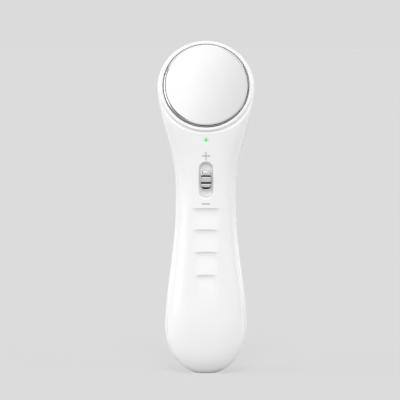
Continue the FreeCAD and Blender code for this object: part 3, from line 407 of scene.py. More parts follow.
@dataclass(frozen=True)
class WorkedMetal(CloudedFinish):
    """Metal that was polished, drawn or plated.

    Fine lines stay from the wheel or the die, and handling leaves faint clouds, so reflections are bright,
    slightly blurred across the lines and never quite even.
    """

    line_mm: float
    lines: Lines = Lines.BANDS
    centre_mm: Point = (0.0, 0.0, 0.0)
    tilt_deg: float = 0.0
    line_depth_mm: float = 0.0004
    line_detail: float = 2.0
    unevenness: float = 1.5
    cloud_mm: float = 5.0
    cloud_detail: float = 1.5
    gloss_spread: float = 0.2

    def shade(self, tree: Tree, place: Socket) -> Inputs:
        """Lines about a centre or along an axis, and clouds in the gloss. Args and Returns as in Finish."""
        surface = self.clouds(tree, place, self.cloud_mm, self.cloud_detail, self.gloss_spread)
        centre_m = tuple(value * MM for value in self.centre_mm)
        centred = add_node(tree, "VectorMath", {0: place, 1: centre_m}, operation="SUBTRACT")
        turned = add_node(tree, "Mapping", {
            "Vector": centred.outputs[0], "Rotation": (math.radians(self.tilt_deg), 0.0, 0.0),
        })
        line = add_node(tree, "TexWave", {
            "Vector": turned.outputs["Vector"],
            "Scale": WAVE_PERIOD_M / (self.line_mm * MM),
            "Distortion": self.unevenness,
            "Detail": self.line_detail,
        }, wave_type=self.lines.value, bands_direction="Z", rings_direction="Z")
        relief = add_node(tree, "Bump", {
            "Height": line.outputs["Fac"], "Distance": self.line_depth_mm * MM,
        })
        return surface | {"Metallic": 1.0, "Normal": relief.outputs["Normal"]}


def from_light(tree: Tree, place: Socket, inner_mm: float, outer_mm: float) -> Socket:
    """Share of the way from an inner to an outer circle about the light's axis, which runs along Y.

    Args:
        tree: tree that takes the nodes.
        place: Object coordinates, in metres.
        inner_mm: radius of the circle at which the share is 0.
        outer_mm: radius of the circle at which it is 1.

    Returns:
        The share, eased at both ends.
    """
    offset = add_node(tree, "VectorMath", {0: place, 1: (0.0, 0.0, LIGHT_HEIGHT * MM)}, operation="SUBTRACT")
    across = add_node(tree, "VectorMath", {0: offset.outputs[0], 1: (1.0, 0.0, 1.0)}, operation="MULTIPLY")
    distance = add_node(tree, "VectorMath", {0: across.outputs[0]}, operation="LENGTH")
    share = add_node(tree, "MapRange", {
        "Value": distance.outputs["Value"], "From Min": inner_mm * MM, "From Max": outer_mm * MM,
    }, interpolation_type="SMOOTHSTEP")
    return share.outputs["Result"]


@dataclass(frozen=True)
class PaintedGlowPlastic(MouldedPlastic):
    """Moulded plastic with a glow painted into its colour round a hole, for light shining through the wall.
    """

    # Colour of the painted glow, mixed into the surface's own colour.
    glow: str = "#FFFFFF"
    hole_mm: float = 0.0
    reach_mm: float = 1.0

    def shade(self, tree: Tree, place: Socket) -> Inputs:
        """Paints the glow into the colour from the hole's edge outwards. Args and Returns as in Finish."""
        surface = super().shade(tree, place)
        share = from_light(tree, place, self.hole_mm, self.reach_mm)
        # Painted glow: the mint is mixed into the base colour; no light makes it.
        tinted = add_node(tree, "Mix", {
            MIX_FACTOR: share, MIX_FIRST: linear(self.glow), MIX_SECOND: surface["Base Color"],
        }, data_type="RGBA")
        return surface | {"Base Color": tinted.outputs[MIX_RESULT]}


@dataclass(frozen=True)
class LitLightPipe(Finish):
    """Polycarbonate pin with the light behind it: deep green in the middle, paler where its rim scatters."""

    core: str
    rim: str
    core_mm: float
    radius_mm: float
    glow: float
    roughness: float = 0.2
    ior: float = 1.58

    def shade(self, tree: Tree, place: Socket) -> Inputs:
        """Mixes core and rim by the distance from the pin's axis. Args and Returns as in Finish."""
        share = from_light(tree, place, self.core_mm, self.radius_mm)
        mixed = add_node(tree, "Mix", {
            MIX_FACTOR: share, MIX_FIRST: linear(self.core), MIX_SECOND: linear(self.rim),
        }, data_type="RGBA")
        colour = mixed.outputs[MIX_RESULT]
        return {
            "Base Color": colour,
            "Roughness": self.roughness,
            "IOR": self.ior,
            "Emission Color": colour,
            "Emission Strength": self.glow,
        }


@dataclass(frozen=True)
class BandedJacket(Finish):
    """Sleeve printed in plain bands along an axis, over a metal can whose bare end shows.

    The sleeve is shrunk on, so it is glossy with faint ripples.
    """

    bands: tuple[tuple[str, float], ...]
    axis: str
    roughness: float
    metallic: float
    ripple_mm: float = 1.5
    ripple_depth_mm: float = 0.01
    ripple_strength: float = 0.6
    ripple_detail: float = 2.0

    def shade(self, tree: Tree, place: Socket) -> Inputs:
        """Each band starts at its place and covers the one before it. Args and Returns as in Finish."""
        along = add_node(tree, "SeparateXYZ", {"Vector": place}).outputs[self.axis]
        colour = linear(self.bands[0][0])
        for shade, start_mm in self.bands[1:]:
            step = add_node(tree, "Math", {0: along, 1: start_mm * MM}, operation="GREATER_THAN")
            mixed = add_node(tree, "Mix", {
                MIX_FACTOR: step.outputs[0], MIX_FIRST: colour, MIX_SECOND: linear(shade),
            }, data_type="RGBA")
            colour = mixed.outputs[MIX_RESULT]
        ripple = add_node(tree, "TexNoise", {
            "Vector": place, "Scale": 1 / (self.ripple_mm * MM), "Detail": self.ripple_detail,
        })
        relief = add_node(tree, "Bump", {
            "Height": ripple.outputs["Fac"],
            "Distance": self.ripple_depth_mm * MM,
            "Strength": self.ripple_strength,
        })
        return {
            "Base Color": colour,
            "Metallic": self.metallic,
            "Roughness": self.roughness,
            "Normal": relief.outputs["Normal"],
        }


@dataclass(frozen=True)
class BoardLaminate(Finish):
    """Glass-fibre laminate under green solder mask: a faint weave, and tracks that show as paler lines."""

    mask: str
    track: str
    weave_mm: float
    track_mm: float
    track_share: float = 0.06
    run_share: float = 4.0
    weave_depth_mm: float = 0.004
    weave_strength: float = 0.5
    roughness: float = 0.32
    ior: float = 1.55

    def shade(self, tree: Tree, place: Socket) -> Inputs:
        """Tracks from a brick pattern's joints, and the weave as relief. Args and Returns as in Finish."""
        turned = add_node(tree, "Mapping", {"Vector": place, "Rotation": (math.pi / 2, 0.0, 0.0)})
        flat = turned.outputs["Vector"]
        tracks = add_node(tree, "TexBrick", {
            "Vector": flat,
            "Color1": linear(self.mask),
            "Color2": linear(self.mask),
            "Mortar": linear(self.track),
            "Scale": 1 / (self.track_mm * MM),
            "Mortar Size": self.track_share,
            "Brick Width": self.run_share,
            "Row Height": 1.0,
        })
        weave = add_node(tree, "TexChecker", {"Vector": flat, "Scale": 1 / (self.weave_mm * MM)})
        relief = add_node(tree, "Bump", {
            "Height": weave.outputs["Fac"],
            "Distance": self.weave_depth_mm * MM,
            "Strength": self.weave_strength,
        })
        return {
            "Base Color": tracks.outputs["Color"],
            "Roughness": self.roughness,
            "IOR": self.ior,
            "Normal": relief.outputs["Normal"],
        }


# Gloss white ABS from a polished mould: even white with clear, slightly soft highlights.
WHITE_ABS = MouldedPlastic("moulded_white_abs", "#F6F6F6", "#F4F4F4", roughness=0.2, ior=1.53)
# Same ABS with a mint glow painted into its colour round the light's hole, for light through the thin wall.
PAINTED_GLOW_ABS = PaintedGlowPlastic(
    "painted_glow_white_abs", WHITE_ABS.colour, WHITE_ABS.clouded, WHITE_ABS.roughness, WHITE_ABS.ior,
    glow="#C3FFD6", hole_mm=0.75, reach_mm=1.7,
)
# ABS of the tray inside, from a spark-eroded mould: pale grey and matt.
GREY_ABS = MouldedPlastic(
    "etched_grey_abs", "#C9CCCD", "#C1C4C6",
    roughness=0.5, ior=1.53, wave_mm=4.0, grain_mm=0.35, grain_depth_mm=0.006,
)
# Black glass-filled polyester of chips and levers: dull, with a fine grain.
BLACK_POLYESTER = MouldedPlastic(
    "black_polyester", "#17181A", "#202124",
    roughness=0.45, ior=1.57, wave_mm=3.0, grain_mm=0.3, grain_depth_mm=0.004,
)
# Clear cast epoxy over a white lead frame: a pale, glassy yellow-green.
LED_EPOXY = MouldedPlastic("led_epoxy", "#E9F2DC", "#DDE9CC", roughness=0.15, ior=1.52, wave_mm=1.0)
# Dark silicone rubber of the gasket, nearly matt: it shows as a dark line round the plate.
SILICONE = MouldedPlastic(
    "cast_silicone", "#151617", "#1D1E1F",
    roughness=0.6, ior=1.41, wave_mm=3.0, grain_mm=0.4, grain_depth_mm=0.004,
)
# Black natural rubber of the motor's seat, moulded: matt, with wide faint highlights.
BLACK_RUBBER = MouldedPlastic(
    "black_rubber", "#141414", "#1E1E1E",
    roughness=0.7, ior=1.5, wave_mm=3.0, grain_mm=0.4, grain_depth_mm=0.01,
)
# Screen-printed ink: flat grey, a little rough and uneven in its cover.
GREY_INK = MouldedPlastic(
    "printed_grey_ink", "#A6A9AC", "#B9BBBD",
    roughness=0.5, ior=1.5, wave_mm=0.4, grain_mm=0.2, grain_depth_mm=0.003,
)
# Extruded vinyl sleeves of the leads: plain colours with a satin sheen.
RED_VINYL = MouldedPlastic(
    "red_vinyl", "#A8231E", "#96201C",
    roughness=0.4, ior=1.53, wave_mm=3.0, grain_mm=0.4, grain_depth_mm=0.004,
)
BLUE_VINYL = replace(RED_VINYL, name="blue_vinyl", colour="#27459A", clouded="#213B85")
BLACK_VINYL = replace(RED_VINYL, name="black_vinyl", colour="#161616", clouded="#202020")
WHITE_VINYL = replace(RED_VINYL, name="white_vinyl", colour="#D8D6D0", clouded="#CCC9C2")
# Stainless plate, spun on a buffing wheel: rings about its own centre, drawn coarser than real to show.
BUFFED_STEEL = WorkedMetal(
    "buffed_stainless_steel", "#F3F3F3", "#F0F0F0",
    roughness=0.14, line_mm=2.5, lines=Lines.RINGS, line_depth_mm=0.0003, unevenness=0.0, cloud_mm=12.0,
    centre_mm=(0.0, -FORM.head_front, FORM.head_height), tilt_deg=FORM.head_tilt_deg - 90,
)
# Stainless strip on the back, brushed across: level lines, drawn coarser than real, blur what it mirrors.
BRUSHED_STEEL = WorkedMetal("brushed_stainless_steel", "#D4D6D8", "#C6C8CB", roughness=0.26, line_mm=0.5)
# Bright coat that was metallised onto the moulded knob: nearly a mirror, with the faintest ripple.
BRIGHT_COAT = WorkedMetal(
    "metallised_abs", "#F2F3F4", "#ECEDEE", roughness=0.12, line_mm=1.2, line_depth_mm=0.0002
)
# Tin over steel: screws, switch case and contacts, a little grey and cloudy.
TINNED_STEEL = WorkedMetal("tinned_steel", "#B9BBBB", "#A2A4A5", roughness=0.36, line_mm=0.3, cloud_mm=1.5)
# Drawn spring wire and sheet: grey, with fine lines from the die.
SPRING_STEEL = WorkedMetal(
    "drawn_spring_steel", "#B3B6B8", "#9A9DA0", roughness=0.3, line_mm=0.25, cloud_mm=1.0
)
# Drawn can of the motor: pale steel with fine lines.
MOTOR_STEEL = WorkedMetal(
    "drawn_motor_steel", "#C2C3C4", "#AEB0B1", roughness=0.3, line_mm=0.4, cloud_mm=2.0
)
# Turned brass: yellow, with fine lines from the tool.
BRASS = WorkedMetal("turned_brass", "#C9A45C", "#B8924C", roughness=0.3, line_mm=0.3, cloud_mm=1.5)
# Enamelled copper wire, wound 0.3 mm apart: each turn shows as a line.
COPPER_WIRE = WorkedMetal(
    "enamelled_copper_wire", "#B8703F", "#9C5A30", roughness=0.32, line_mm=0.3, line_depth_mm=0.05
)
# Solder mask over glass fibre: glossy green, with paler tracks.
BOARD = BoardLaminate("solder_masked_laminate", "#1D5A33", "#3F8F58", weave_mm=0.5, track_mm=1.6)
# Shrunk sleeve of the capacitor, dark blue with a pale stripe, and the bare can at its end.
CAPACITOR = BandedJacket(
    "sleeved_capacitor",
    (("#2C3550", -2.0), ("#D5D8DB", -0.9), ("#2C3550", -0.2), ("#C9CBCC", 4.7)),
    "Y", roughness=0.3, metallic=0.4,
)
# Cell with a foil jacket in two plain bands between bare steel ends: a metallic gloss.
CELL = BandedJacket(
    "foil_cell_jacket",
    (("#C8CACB", 0.0), ("#26292E", 18.2), ("#B9763C", 54.0), ("#C8CACB", 66.2)),
    "Z", roughness=0.26, metallic=0.75,
)
# Moulded polycarbonate pin, lit from behind: a green dot with a pale rim.
LIT_PIPE = LitLightPipe(
    "lit_polycarbonate_pipe", "#45A863", "#8FE3A8", core_mm=0.4, radius_mm=0.65, glow=0.55
)


def dress(finishes: dict[str, Finish]) -> None:
    """Gives CAD nodes their finishes.

    Args:
        finishes: the finish of each node by its name.
    """
    for node, finish in finishes.items():
        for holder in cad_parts[node].material_slots:
            holder.material = finish.material()
        LOG.info("%s: %s", node, finish.name)


def set_on(
    piece: bpy.types.Object, finish: Finish, body: Body, replaced: str | None = None
) -> None:
    """Finishes a new piece and lets it ride.

    Args:
        piece: the new piece.
        finish: its finish.
        body: the body that it moves with.
        replaced: the CAD node that it stands for, if any.
    """
    piece.data.materials.append(finish.material())
    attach(piece, body.value)
    if replaced:
        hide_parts(replaced)
    LOG.info("%s: %s on %s", piece.name, finish.name, body.value)


@dataclass
class FrontPanel:
    """Front half of the case, with the switch slot, the light's hole and four finger steps."""

    form: OuterForm
    parting: float = 6.12
    wall: float = 0.5
    edge: float = 0.12
    edge_segments: int = 2
    sharp_deg: float = 50.0
    slot_height: float = 95.2
    slot_half_width: float = 3.35
    slot_half_length: float = 8.75
    light_radius: float = 0.72
    step_heights: tuple[float, ...] = (81.4, 70.9, 60.0, 48.8)
    step_depth: float = 0.85
    step_fade: float = 3.0
    step_arch: float = 0.28
    step_half_widths: tuple[float, ...] = (7.6, 6.8, 6.6, 6.0)
    lip_height: float = 0.12
    lip_above: float = 0.6
    lip_below: float = 0.2
    rolled_edge: float = 1.0
    roll_in: float = 0.15
    ledge: tuple[float, ...] = (0.03, 0.1, 0.3, 0.7, 1.3, 2.2)
    mouth_width: float = 0.7
    mouth_in: float = 0.38
    level_top: float = 117.0
    halvings: int = 40
    columns: int = 129
    bunching: float = 0.25
    row_gap: float = 1.0
    least_gap: float = 0.035
    foot_row: float = 0.8
    foot_rows: int = 10
    foot_share: float = 4.0
    lip_rows: int = 25
    lip_shares: tuple[float, float] = (-6.0, 2.0)
    fade_rows: int = 15
    fade_shares: tuple[float, float] = (0.5, 4.0)
    slot_rows: int = 63
    slot_margin: float = 0.6
    light_rows: int = 17
    light_margin: float = 0.4
    neck_rows: int = 25

    def rows(self) -> np.ndarray:
        """Level rows at an even gap, with closer ones at the foot, steps, slot and light.

        Returns:
            Their heights, upwards.
        """
        lip_low, lip_high = self.lip_shares
        lip = np.linspace(lip_low * self.lip_below, lip_high * self.lip_above, self.lip_rows)
        fade = np.linspace(*self.fade_shares, self.fade_rows) * self.step_fade
        slot = (self.slot_half_length + self.slot_margin) * np.linspace(-1, 1, self.slot_rows)
        light = (self.light_radius + self.light_margin) * np.linspace(-1, 1, self.light_rows)
        sets = [
            np.arange(self.foot_row, self.level_top, self.row_gap),
            self.foot_row * np.geomspace(1, self.foot_share, self.foot_rows),
            np.add.outer(self.step_heights, lip).ravel(),
            np.subtract.outer(self.step_heights, fade).ravel(),
            self.slot_height + slot,
            LIGHT_HEIGHT + light,
        ]
        heights = np.unique(np.round(np.concatenate(sets), 2))
        kept = np.diff(heights, prepend=-np.inf) > self.least_gap
        return np.append(heights[kept], self.level_top)

    def edge_x(self, height: np.ndarray) -> np.ndarray:
        """Half width of the panel: where the section's curve crosses the parting plane."""
        width, middle, depth, power = self.form.section(height)
        return width * rounded(np.clip((middle + self.parting) / depth, 0, 1), power)

    def top_heights(self, share: np.ndarray) -> np.ndarray:
        """Height at which each column meets the head's seat, by halving the interval.

        The column has passed the seat where the front lies before the seat's tilted plane.

        Args:
            share: place of each column, from -1 to 1 across the panel.

        Returns:
            One height per column.
        """
        form = self.form
        (_, out_y, out_z), _ = leaned(form.head_tilt_deg)
        low = np.full(share.shape, self.level_top)
        high = np.full(share.shape, form.head_height)
        for _ in range(self.halvings):
            middle = (low + high) / 2
            y = form.front_y(share * self.edge_x(middle), middle) + form.head_front
            passed = y * out_y + (middle - form.head_height) * out_z + form.collar_depth > 0
            low = np.where(passed, low, middle)
            high = np.where(passed, middle, high)
        return low

    def grid(self) -> tuple[np.ndarray, np.ndarray]:
        """Grid on the form: columns at shares of the panel's width, and rows that run up to the seat.

        With e an even spacing from -1 to 1, the shares are a mix of e and e^3, closer in the middle.

        Returns:
            Places across and heights, row by row.
        """
        even = np.linspace(-1, 1, self.columns)
        share = (1 - self.bunching) * even + self.bunching * even**3
        level = self.rows()[:, None] * np.ones(self.columns)
        rise = np.linspace(0, 1, self.neck_rows)[1:, None]
        neck = self.level_top + rise * (self.top_heights(share) - self.level_top)
        height = np.vstack([level, neck])
        return share * self.edge_x(height), height

    def step_inset(self, across: np.ndarray, height: np.ndarray) -> np.ndarray:
        """How far the finger steps lie behind the form.

        With u the distance below a step's edge, the hollow is u times exp(-u), scaled to its fade and depth,
        and a low lip of exp(-|u|) stands along the edge. Both end across in a flat bell, (1 - x^4)^2, and
        the edge arches by 1 - x^2.

        Args:
            across: places across.
            height: heights.

        Returns:
            One distance per place.
        """
        inset = np.zeros(np.broadcast(across, height).shape)
        for start, half_width in zip(self.step_heights, self.step_half_widths):
            bell = np.clip(1 - (across / half_width) ** 4, 0, 1) ** 2
            below = start + self.step_arch * (1 - (across / half_width) ** 2) - height
            share = np.clip(below / self.step_fade, 0, None)
            reach = np.where(below > 0, self.lip_below, self.lip_above)
            lip = self.lip_height * np.exp(-np.abs(below) / reach)
            inset = inset + bell * (self.step_depth * share * np.exp(1 - share) - lip)
        return inset

    def opening_distance(
        self, across: np.ndarray, height: np.ndarray
    ) -> tuple[np.ndarray, np.ndarray, np.ndarray]:
        """Signed distance to the nearer opening, with the direction away from it.

        The slot is all that lies within its half width of an upright line, and the light's hole is a circle.

        Args:
            across: places across.
            height: heights.

        Returns:
            Distance, negative inside, and the two parts of the unit direction.
        """
        straight = self.slot_half_length - self.slot_half_width
        rise = height - self.slot_height
        slot_z = rise - np.clip(rise, -straight, straight)
        slot = np.hypot(across, slot_z) - self.slot_half_width
        light_z = height - LIGHT_HEIGHT
        light = np.hypot(across, light_z) - self.light_radius
        nearer = slot < light
        part_z = np.where(nearer, slot_z, light_z)
        length = np.maximum(np.hypot(across, part_z), TINY)
        return np.where(nearer, slot, light), across / length, part_z / length

    def ledge_rows(self, top: np.ndarray) -> np.ndarray:
        """Rows of the ledge under the collar, from the top edge in towards the head's axis.

        Args:
            top: points of the top edge, on the seat's plane.

        Returns:
            Their points, row by row, on that plane and not behind the parting plane.
        """
        out, _ = leaned(self.form.head_tilt_deg)
        inward = self.form.head_centre() - self.form.collar_depth * out - top
        inward /= np.linalg.norm(inward, axis=1, keepdims=True)
        rows = top + np.array(self.ledge)[:, None, None] * inward
        rows[..., 1] = np.minimum(rows[..., 1], -self.parting)
        return rows

    def thicken(self, skin: bpy.types.Object) -> None:
        """Gives the skin its wall, inwards, and breaks its sharp edges.

        Args:
            skin: the panel's outside, whose faces point outwards.
        """
        solid = skin.modifiers.new("wall", "SOLIDIFY")
        solid.thickness = self.wall * MM
        solid.offset = -1
        solid.use_even_offset = True
        bevel = skin.modifiers.new("edge", "BEVEL")
        bevel.width = self.edge * MM
        bevel.segments = self.edge_segments
        bevel.limit_method = "ANGLE"
        bevel.angle_limit = math.radians(self.sharp_deg)
        bevel.harden_normals = True

    def build(self) -> None:
        """Makes the panel in place of the CAD's front cover.

        Quads over an opening are left out, and the points round it are drawn onto its outline. Towards its
        long edges and openings the panel rolls in by the square of the way to the edge, and at its top it
        turns onto the seat's plane.
        """
        across, height = self.grid()
        distance, away_x, away_z = self.opening_distance(across, height)
        faces = grid_faces(len(height) + len(self.ledge), self.columns)
        on_skin = faces.max(axis=1) < height.size
        open_quad = np.zeros(len(faces), bool)
        open_quad[on_skin] = (distance.ravel()[faces[on_skin]] < 0).any(axis=1)
        rim = np.zeros(height.size, bool)
        rim[faces[open_quad]] = True
        rim = rim.reshape(height.shape) & (distance >= 0)
        across = np.where(rim, across - distance * away_x, across)
        height = np.where(rim, height - distance * away_z, height)
        mouth = np.clip(1 - np.where(rim, 0, np.abs(distance)) / self.mouth_width, 0, 1)
        inside = self.edge_x(height) - np.abs(across)
        rolled = self.roll_in * np.clip(1 - inside / self.rolled_edge, 0, 1) ** 2
        front = self.form.front_y(across, height)
        depth = front + self.step_inset(across, height) + self.mouth_in * mouth**2
        skin = np.stack([across - np.sign(across) * rolled, depth, height], axis=-1)
        points = np.vstack([skin, self.ledge_rows(skin[-1])]).reshape(-1, 3)
        panel = new_piece("front_panel", points, faces[~open_quad])
        self.thicken(panel)
        # The panel's finish has a mint glow painted round the light's hole.
        set_on(panel, PAINTED_GLOW_ABS, Body.HOUSING, "front_cover")


@dataclass
class PrintedMarks:
    """Plus and minus signs that are printed on the front, above and below the slot."""

    form: OuterForm
    plus_height: float = 107.1
    minus_height: float = 83.6
    half_length: float = 2.0
    plus_half_stroke: float = 0.25
    minus_half_stroke: float = 0.3
    film: float = 0.02
    cells: int = 41

    def mark(self, name: str, height: float, half_stroke: float, upright: bool) -> None:
        """Makes one sign: the cells of a square grid that lie on its strokes, laid on the form.

        Args:
            name: name of the piece.
            height: height of the sign's centre.
            half_stroke: half the width of its strokes.
            upright: whether it has an upright stroke too.
        """
        line = np.linspace(-self.half_length, self.half_length, self.cells)
        across, rise = np.meshgrid(line, line)
        faces = grid_faces(self.cells, self.cells)
        middle_x = across.ravel()[faces].mean(axis=1)
        middle_z = rise.ravel()[faces].mean(axis=1)
        inked = np.abs(middle_z) < half_stroke
        if upright:
            inked |= np.abs(middle_x) < half_stroke
        depth = self.form.front_y(across, height + rise) - self.film
        points = np.stack([across, depth, height + rise], axis=-1).reshape(-1, 3)
        sign = new_piece(name, points, faces[inked])
        solid = sign.modifiers.new("film", "SOLIDIFY")
        solid.thickness = 2 * self.film * MM
        set_on(sign, GREY_INK, Body.HOUSING)

    def build(self) -> None:
        """Prints both signs."""
        self.mark("plus_mark", self.plus_height, self.plus_half_stroke, True)
        self.mark("minus_mark", self.minus_height, self.minus_half_stroke, False)


@dataclass
class Case:
    """White case: printed front panel, rear tub, battery door and screws."""

    form: OuterForm

    def build(self) -> None:
        """Builds the front and dresses the rest."""
        FrontPanel(self.form).build()
        PrintedMarks(self.form).build()
        dress({"rear_cover": WHITE_ABS, "battery_door": WHITE_ABS, "case_screws": TINNED_STEEL})


@dataclass
class PolishedPlate:
    """Crowned metal plate with a rounded edge, a skirt and a stud behind it."""

    form: OuterForm
    radius: float = 20.9
    proud: float = 1.1
    crown: float = 0.6
    edge_width: float = 1.6
    edge_round: float = 1.05
    sheet: float = 0.6
    skirt_end: float = -0.3
    stud_radius: float = 1.5
    stud_end: float = -5.8
    tip: float = 0.1
    edge_rows: int = 17
    crown_rows: int = 40
    columns: int = 160

    def profile(self) -> np.ndarray:
        """Plate's outline, from the stud's end round the skirt to the crown's top.

        The edge is a quarter ellipse, and the crown's height falls by the square of the radius.

        Returns:
            A radius and a height before the collar per point.
        """
        face = self.radius - self.edge_width
        under = self.proud - self.sheet
        inside = self.radius - self.sheet
        back = [
            (self.tip, self.stud_end),
            (self.stud_radius - self.tip, self.stud_end),
            (self.stud_radius, self.stud_end + self.tip),
            (self.stud_radius, under - self.tip),
            (self.stud_radius + self.tip, under),
            (inside - self.sheet, under),
            (inside, under - self.sheet),
            (inside, self.skirt_end + self.tip),
            (inside + self.tip, self.skirt_end),
            (self.radius - self.tip, self.skirt_end),
            (self.radius, self.skirt_end + self.tip),
        ]
        turn = np.linspace(0, math.pi / 2, self.edge_rows)
        edge_out = face + self.edge_width * np.cos(turn)
        edge_up = self.proud + self.edge_round * (np.sin(turn) - 1)
        crown_out = np.linspace(face - self.tip, self.tip, self.crown_rows)
        crown_up = self.proud + self.crown * (1 - (crown_out / face) ** 2)
        return np.vstack([back, np.stack([edge_out, edge_up], 1), np.stack([crown_out, crown_up], 1)])

    def build(self) -> None:
        """Turns the outline about the head's axis, in place of the CAD's plate."""
        out, up = leaned(self.form.head_tilt_deg)
        angle = ring_angles(self.columns)
        spoke = np.outer(np.cos(angle), (1.0, 0.0, 0.0)) + np.outer(np.sin(angle), up)
        outline = self.profile()[:, :, None, None]
        points = self.form.head_centre() + outline[:, 0] * spoke + outline[:, 1] * out
        plate = new_piece("polished_plate", points.reshape(-1, 3), tube_faces(len(outline), self.columns))
        set_on(plate, BUFFED_STEEL, Body.HOUSING, "electrode_plate")


@dataclass
class Head:
    """Tilted collar with the polished plate and what holds it."""

    form: OuterForm

    def build(self) -> None:
        """Builds the plate and dresses the head's other nodes."""
        PolishedPlate(self.form).build()
        dress({
            "head_cup": WHITE_ABS,
            "electrode_gasket": SILICONE,
            "electrode_terminal": BRASS,
            "electrode_nut": TINNED_STEEL,
        })


@dataclass
class SlideKnob:
    """Knob of the slide switch, with three cushions for the finger."""

    plan_power: float = 3.2
    section_power: float = 4.0
    end_power: float = 6.0
    end_share: float = 0.9995
    cushion_edges: tuple[float, float] = (-2.05, 1.4)
    cushion_fall: float = 0.42
    cushion_power: float = 3.0
    cushion_step: float = 0.12
    rows: int = 161
    columns: int = 64

    def fall(self, rise: np.ndarray, half_length: float) -> np.ndarray:
        """How far the front lies behind the knob's highest place.

        Each cushion falls by a power of the way down it, then rises to the next one over a short step.

        Args:
            rise: heights from the knob's middle.
            half_length: half the knob's length.

        Returns:
            One distance per height.
        """
        edges = np.array([-half_length, *self.cushion_edges, half_length])
        number = np.clip(np.searchsorted(edges, rise, side="right") - 1, 0, len(edges) - 2)
        down = (edges[number + 1] - rise) / (edges[number + 1] - edges[number])
        back = np.clip((rise - edges[number]) / self.cushion_step, 0, 1)
        inner = np.where(number > 0, back, 1.0)
        return self.cushion_fall * down**self.cushion_power * inner

    def build(self) -> None:
        """Makes the knob in place of the CAD's.

        It is a tube of closed sections |x / width|^p + |y / depth|^p = 1 that are stacked upwards. Its width
        and depth shrink to the ends by powers of their own, and strips of quads close both end sections.
        """
        low, high = (np.array(corner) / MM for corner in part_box("switch_knob"))
        middle = (low + high) / 2
        half = (high - low) / 2
        share = np.sin(np.linspace(-1, 1, self.rows) * math.pi / 2)[:, None] * self.end_share
        rise = share * half[2]
        width = half[0] * rounded(share, self.plan_power)
        reach = (2 * half[1] - self.fall(rise, half[2])) * rounded(share, self.end_power) / 2
        angle = ring_angles(self.columns)
        wave = np.stack([np.cos(angle), np.sin(angle)])
        round_x, round_y = np.sign(wave) * np.abs(wave) ** (2 / self.section_power)
        x = middle[0] + width * round_x
        y = high[1] - reach + reach * round_y
        z = middle[2] + rise * np.ones(self.columns)
        points = np.stack([x, y, z], axis=-1).reshape(-1, 3)
        knob = new_piece("slide_knob", points, tube_faces(self.rows, self.columns))
        set_on(knob, BRIGHT_COAT, Body.SLIDER, "switch_knob")


@dataclass
class SlideSwitch:
    """Bright knob on a white shutter, with the switch behind it."""

    def build(self) -> None:
        """Builds the knob and dresses the switch's other nodes."""
        SlideKnob().build()
        dress({
            "switch_shutter": WHITE_ABS,
            "switch_lever": BLACK_POLYESTER,
            "switch_body": TINNED_STEEL,
        })


@dataclass
class Electronics:
    """Board with its light, chip, coil and capacitor, and the leads that reach it."""

    def build(self) -> None:
        """Dresses the board's nodes and the leads."""
        dress({
            "circuit_board": BOARD,
            "board_screws": TINNED_STEEL,
            "indicator_led": LED_EPOXY,
            "light_pipe": LIT_PIPE,
            "control_chip": BLACK_POLYESTER,
            "boost_coil": COPPER_WIRE,
            "smoothing_capacitor": CAPACITOR,
            "electrode_lead": RED_VINYL,
            "motor_leads": BLUE_VINYL,
            "battery_lead": BLACK_VINYL,
            "contact_lead": WHITE_VINYL,
        })


@dataclass
class BatteryBay:
    """Tray with its cell, spring and contacts, and the metal strip above the door."""

    def build(self) -> None:
        """Dresses the bay's nodes and the strip."""
        dress({
            "battery": CELL,
            "battery_tray": GREY_ABS,
            "battery_spring": SPRING_STEEL,
            "negative_contact": SPRING_STEEL,
            "positive_contact": SPRING_STEEL,
            "hand_contact": BRUSHED_STEEL,
        })


@dataclass
class VibrationMotor:
    """Motor with its weight, in a rubber seat."""

    def build(self) -> None:
        """Dresses the motor's nodes."""
        dress({
            "motor_can": MOTOR_STEEL,
            "motor_shaft": MOTOR_STEEL,
            "eccentric_weight": BRASS,
            "motor_cradle": BLACK_RUBBER,
        })


def rectangle(start: Point, end: Point) -> np.ndarray:
    """Corners of a level or upright rectangle in order round it, from one corner and the one across."""
    from_end = np.array([(0, 0, 0), (1, 0, 1), (1, 1, 1), (0, 1, 0)])
    return np.where(from_end, end, start)


def flat_face(name: str, corners: np.ndarray, material: bpy.types.Material) -> bpy.types.Object:
    """Makes one flat face of the studio.

    Args:
        name: name of the face.
        corners: its corners in order round it, in metres.
        material: its material.

    Returns:
        The object.
    """
    mesh = bpy.data.meshes.new(name)
    mesh.from_pydata(corners.tolist(), [], [tuple(range(len(corners)))])
    mesh.materials.append(material)
    return add_object(name, mesh)


@dataclass(frozen=True)
class Lamp:
    """Soft far lamp: where it comes from and its spread, in degrees, its strength, and if mirrors show it."""

    name: str
    azimuth: float
    elevation: float
    spread: float
    strength: float
    mirrored: bool = True

    def place(self) -> None:
        """Adds the lamp, aimed at the object."""
        light = bpy.data.lights.new(self.name, "SUN")
        light.angle = math.radians(self.spread)
        light.energy = self.strength
        lamp = add_object(self.name, light)
        lamp.rotation_euler = (math.radians(90 - self.elevation), 0, math.radians(self.azimuth))
        lamp.visible_glossy = self.mirrored


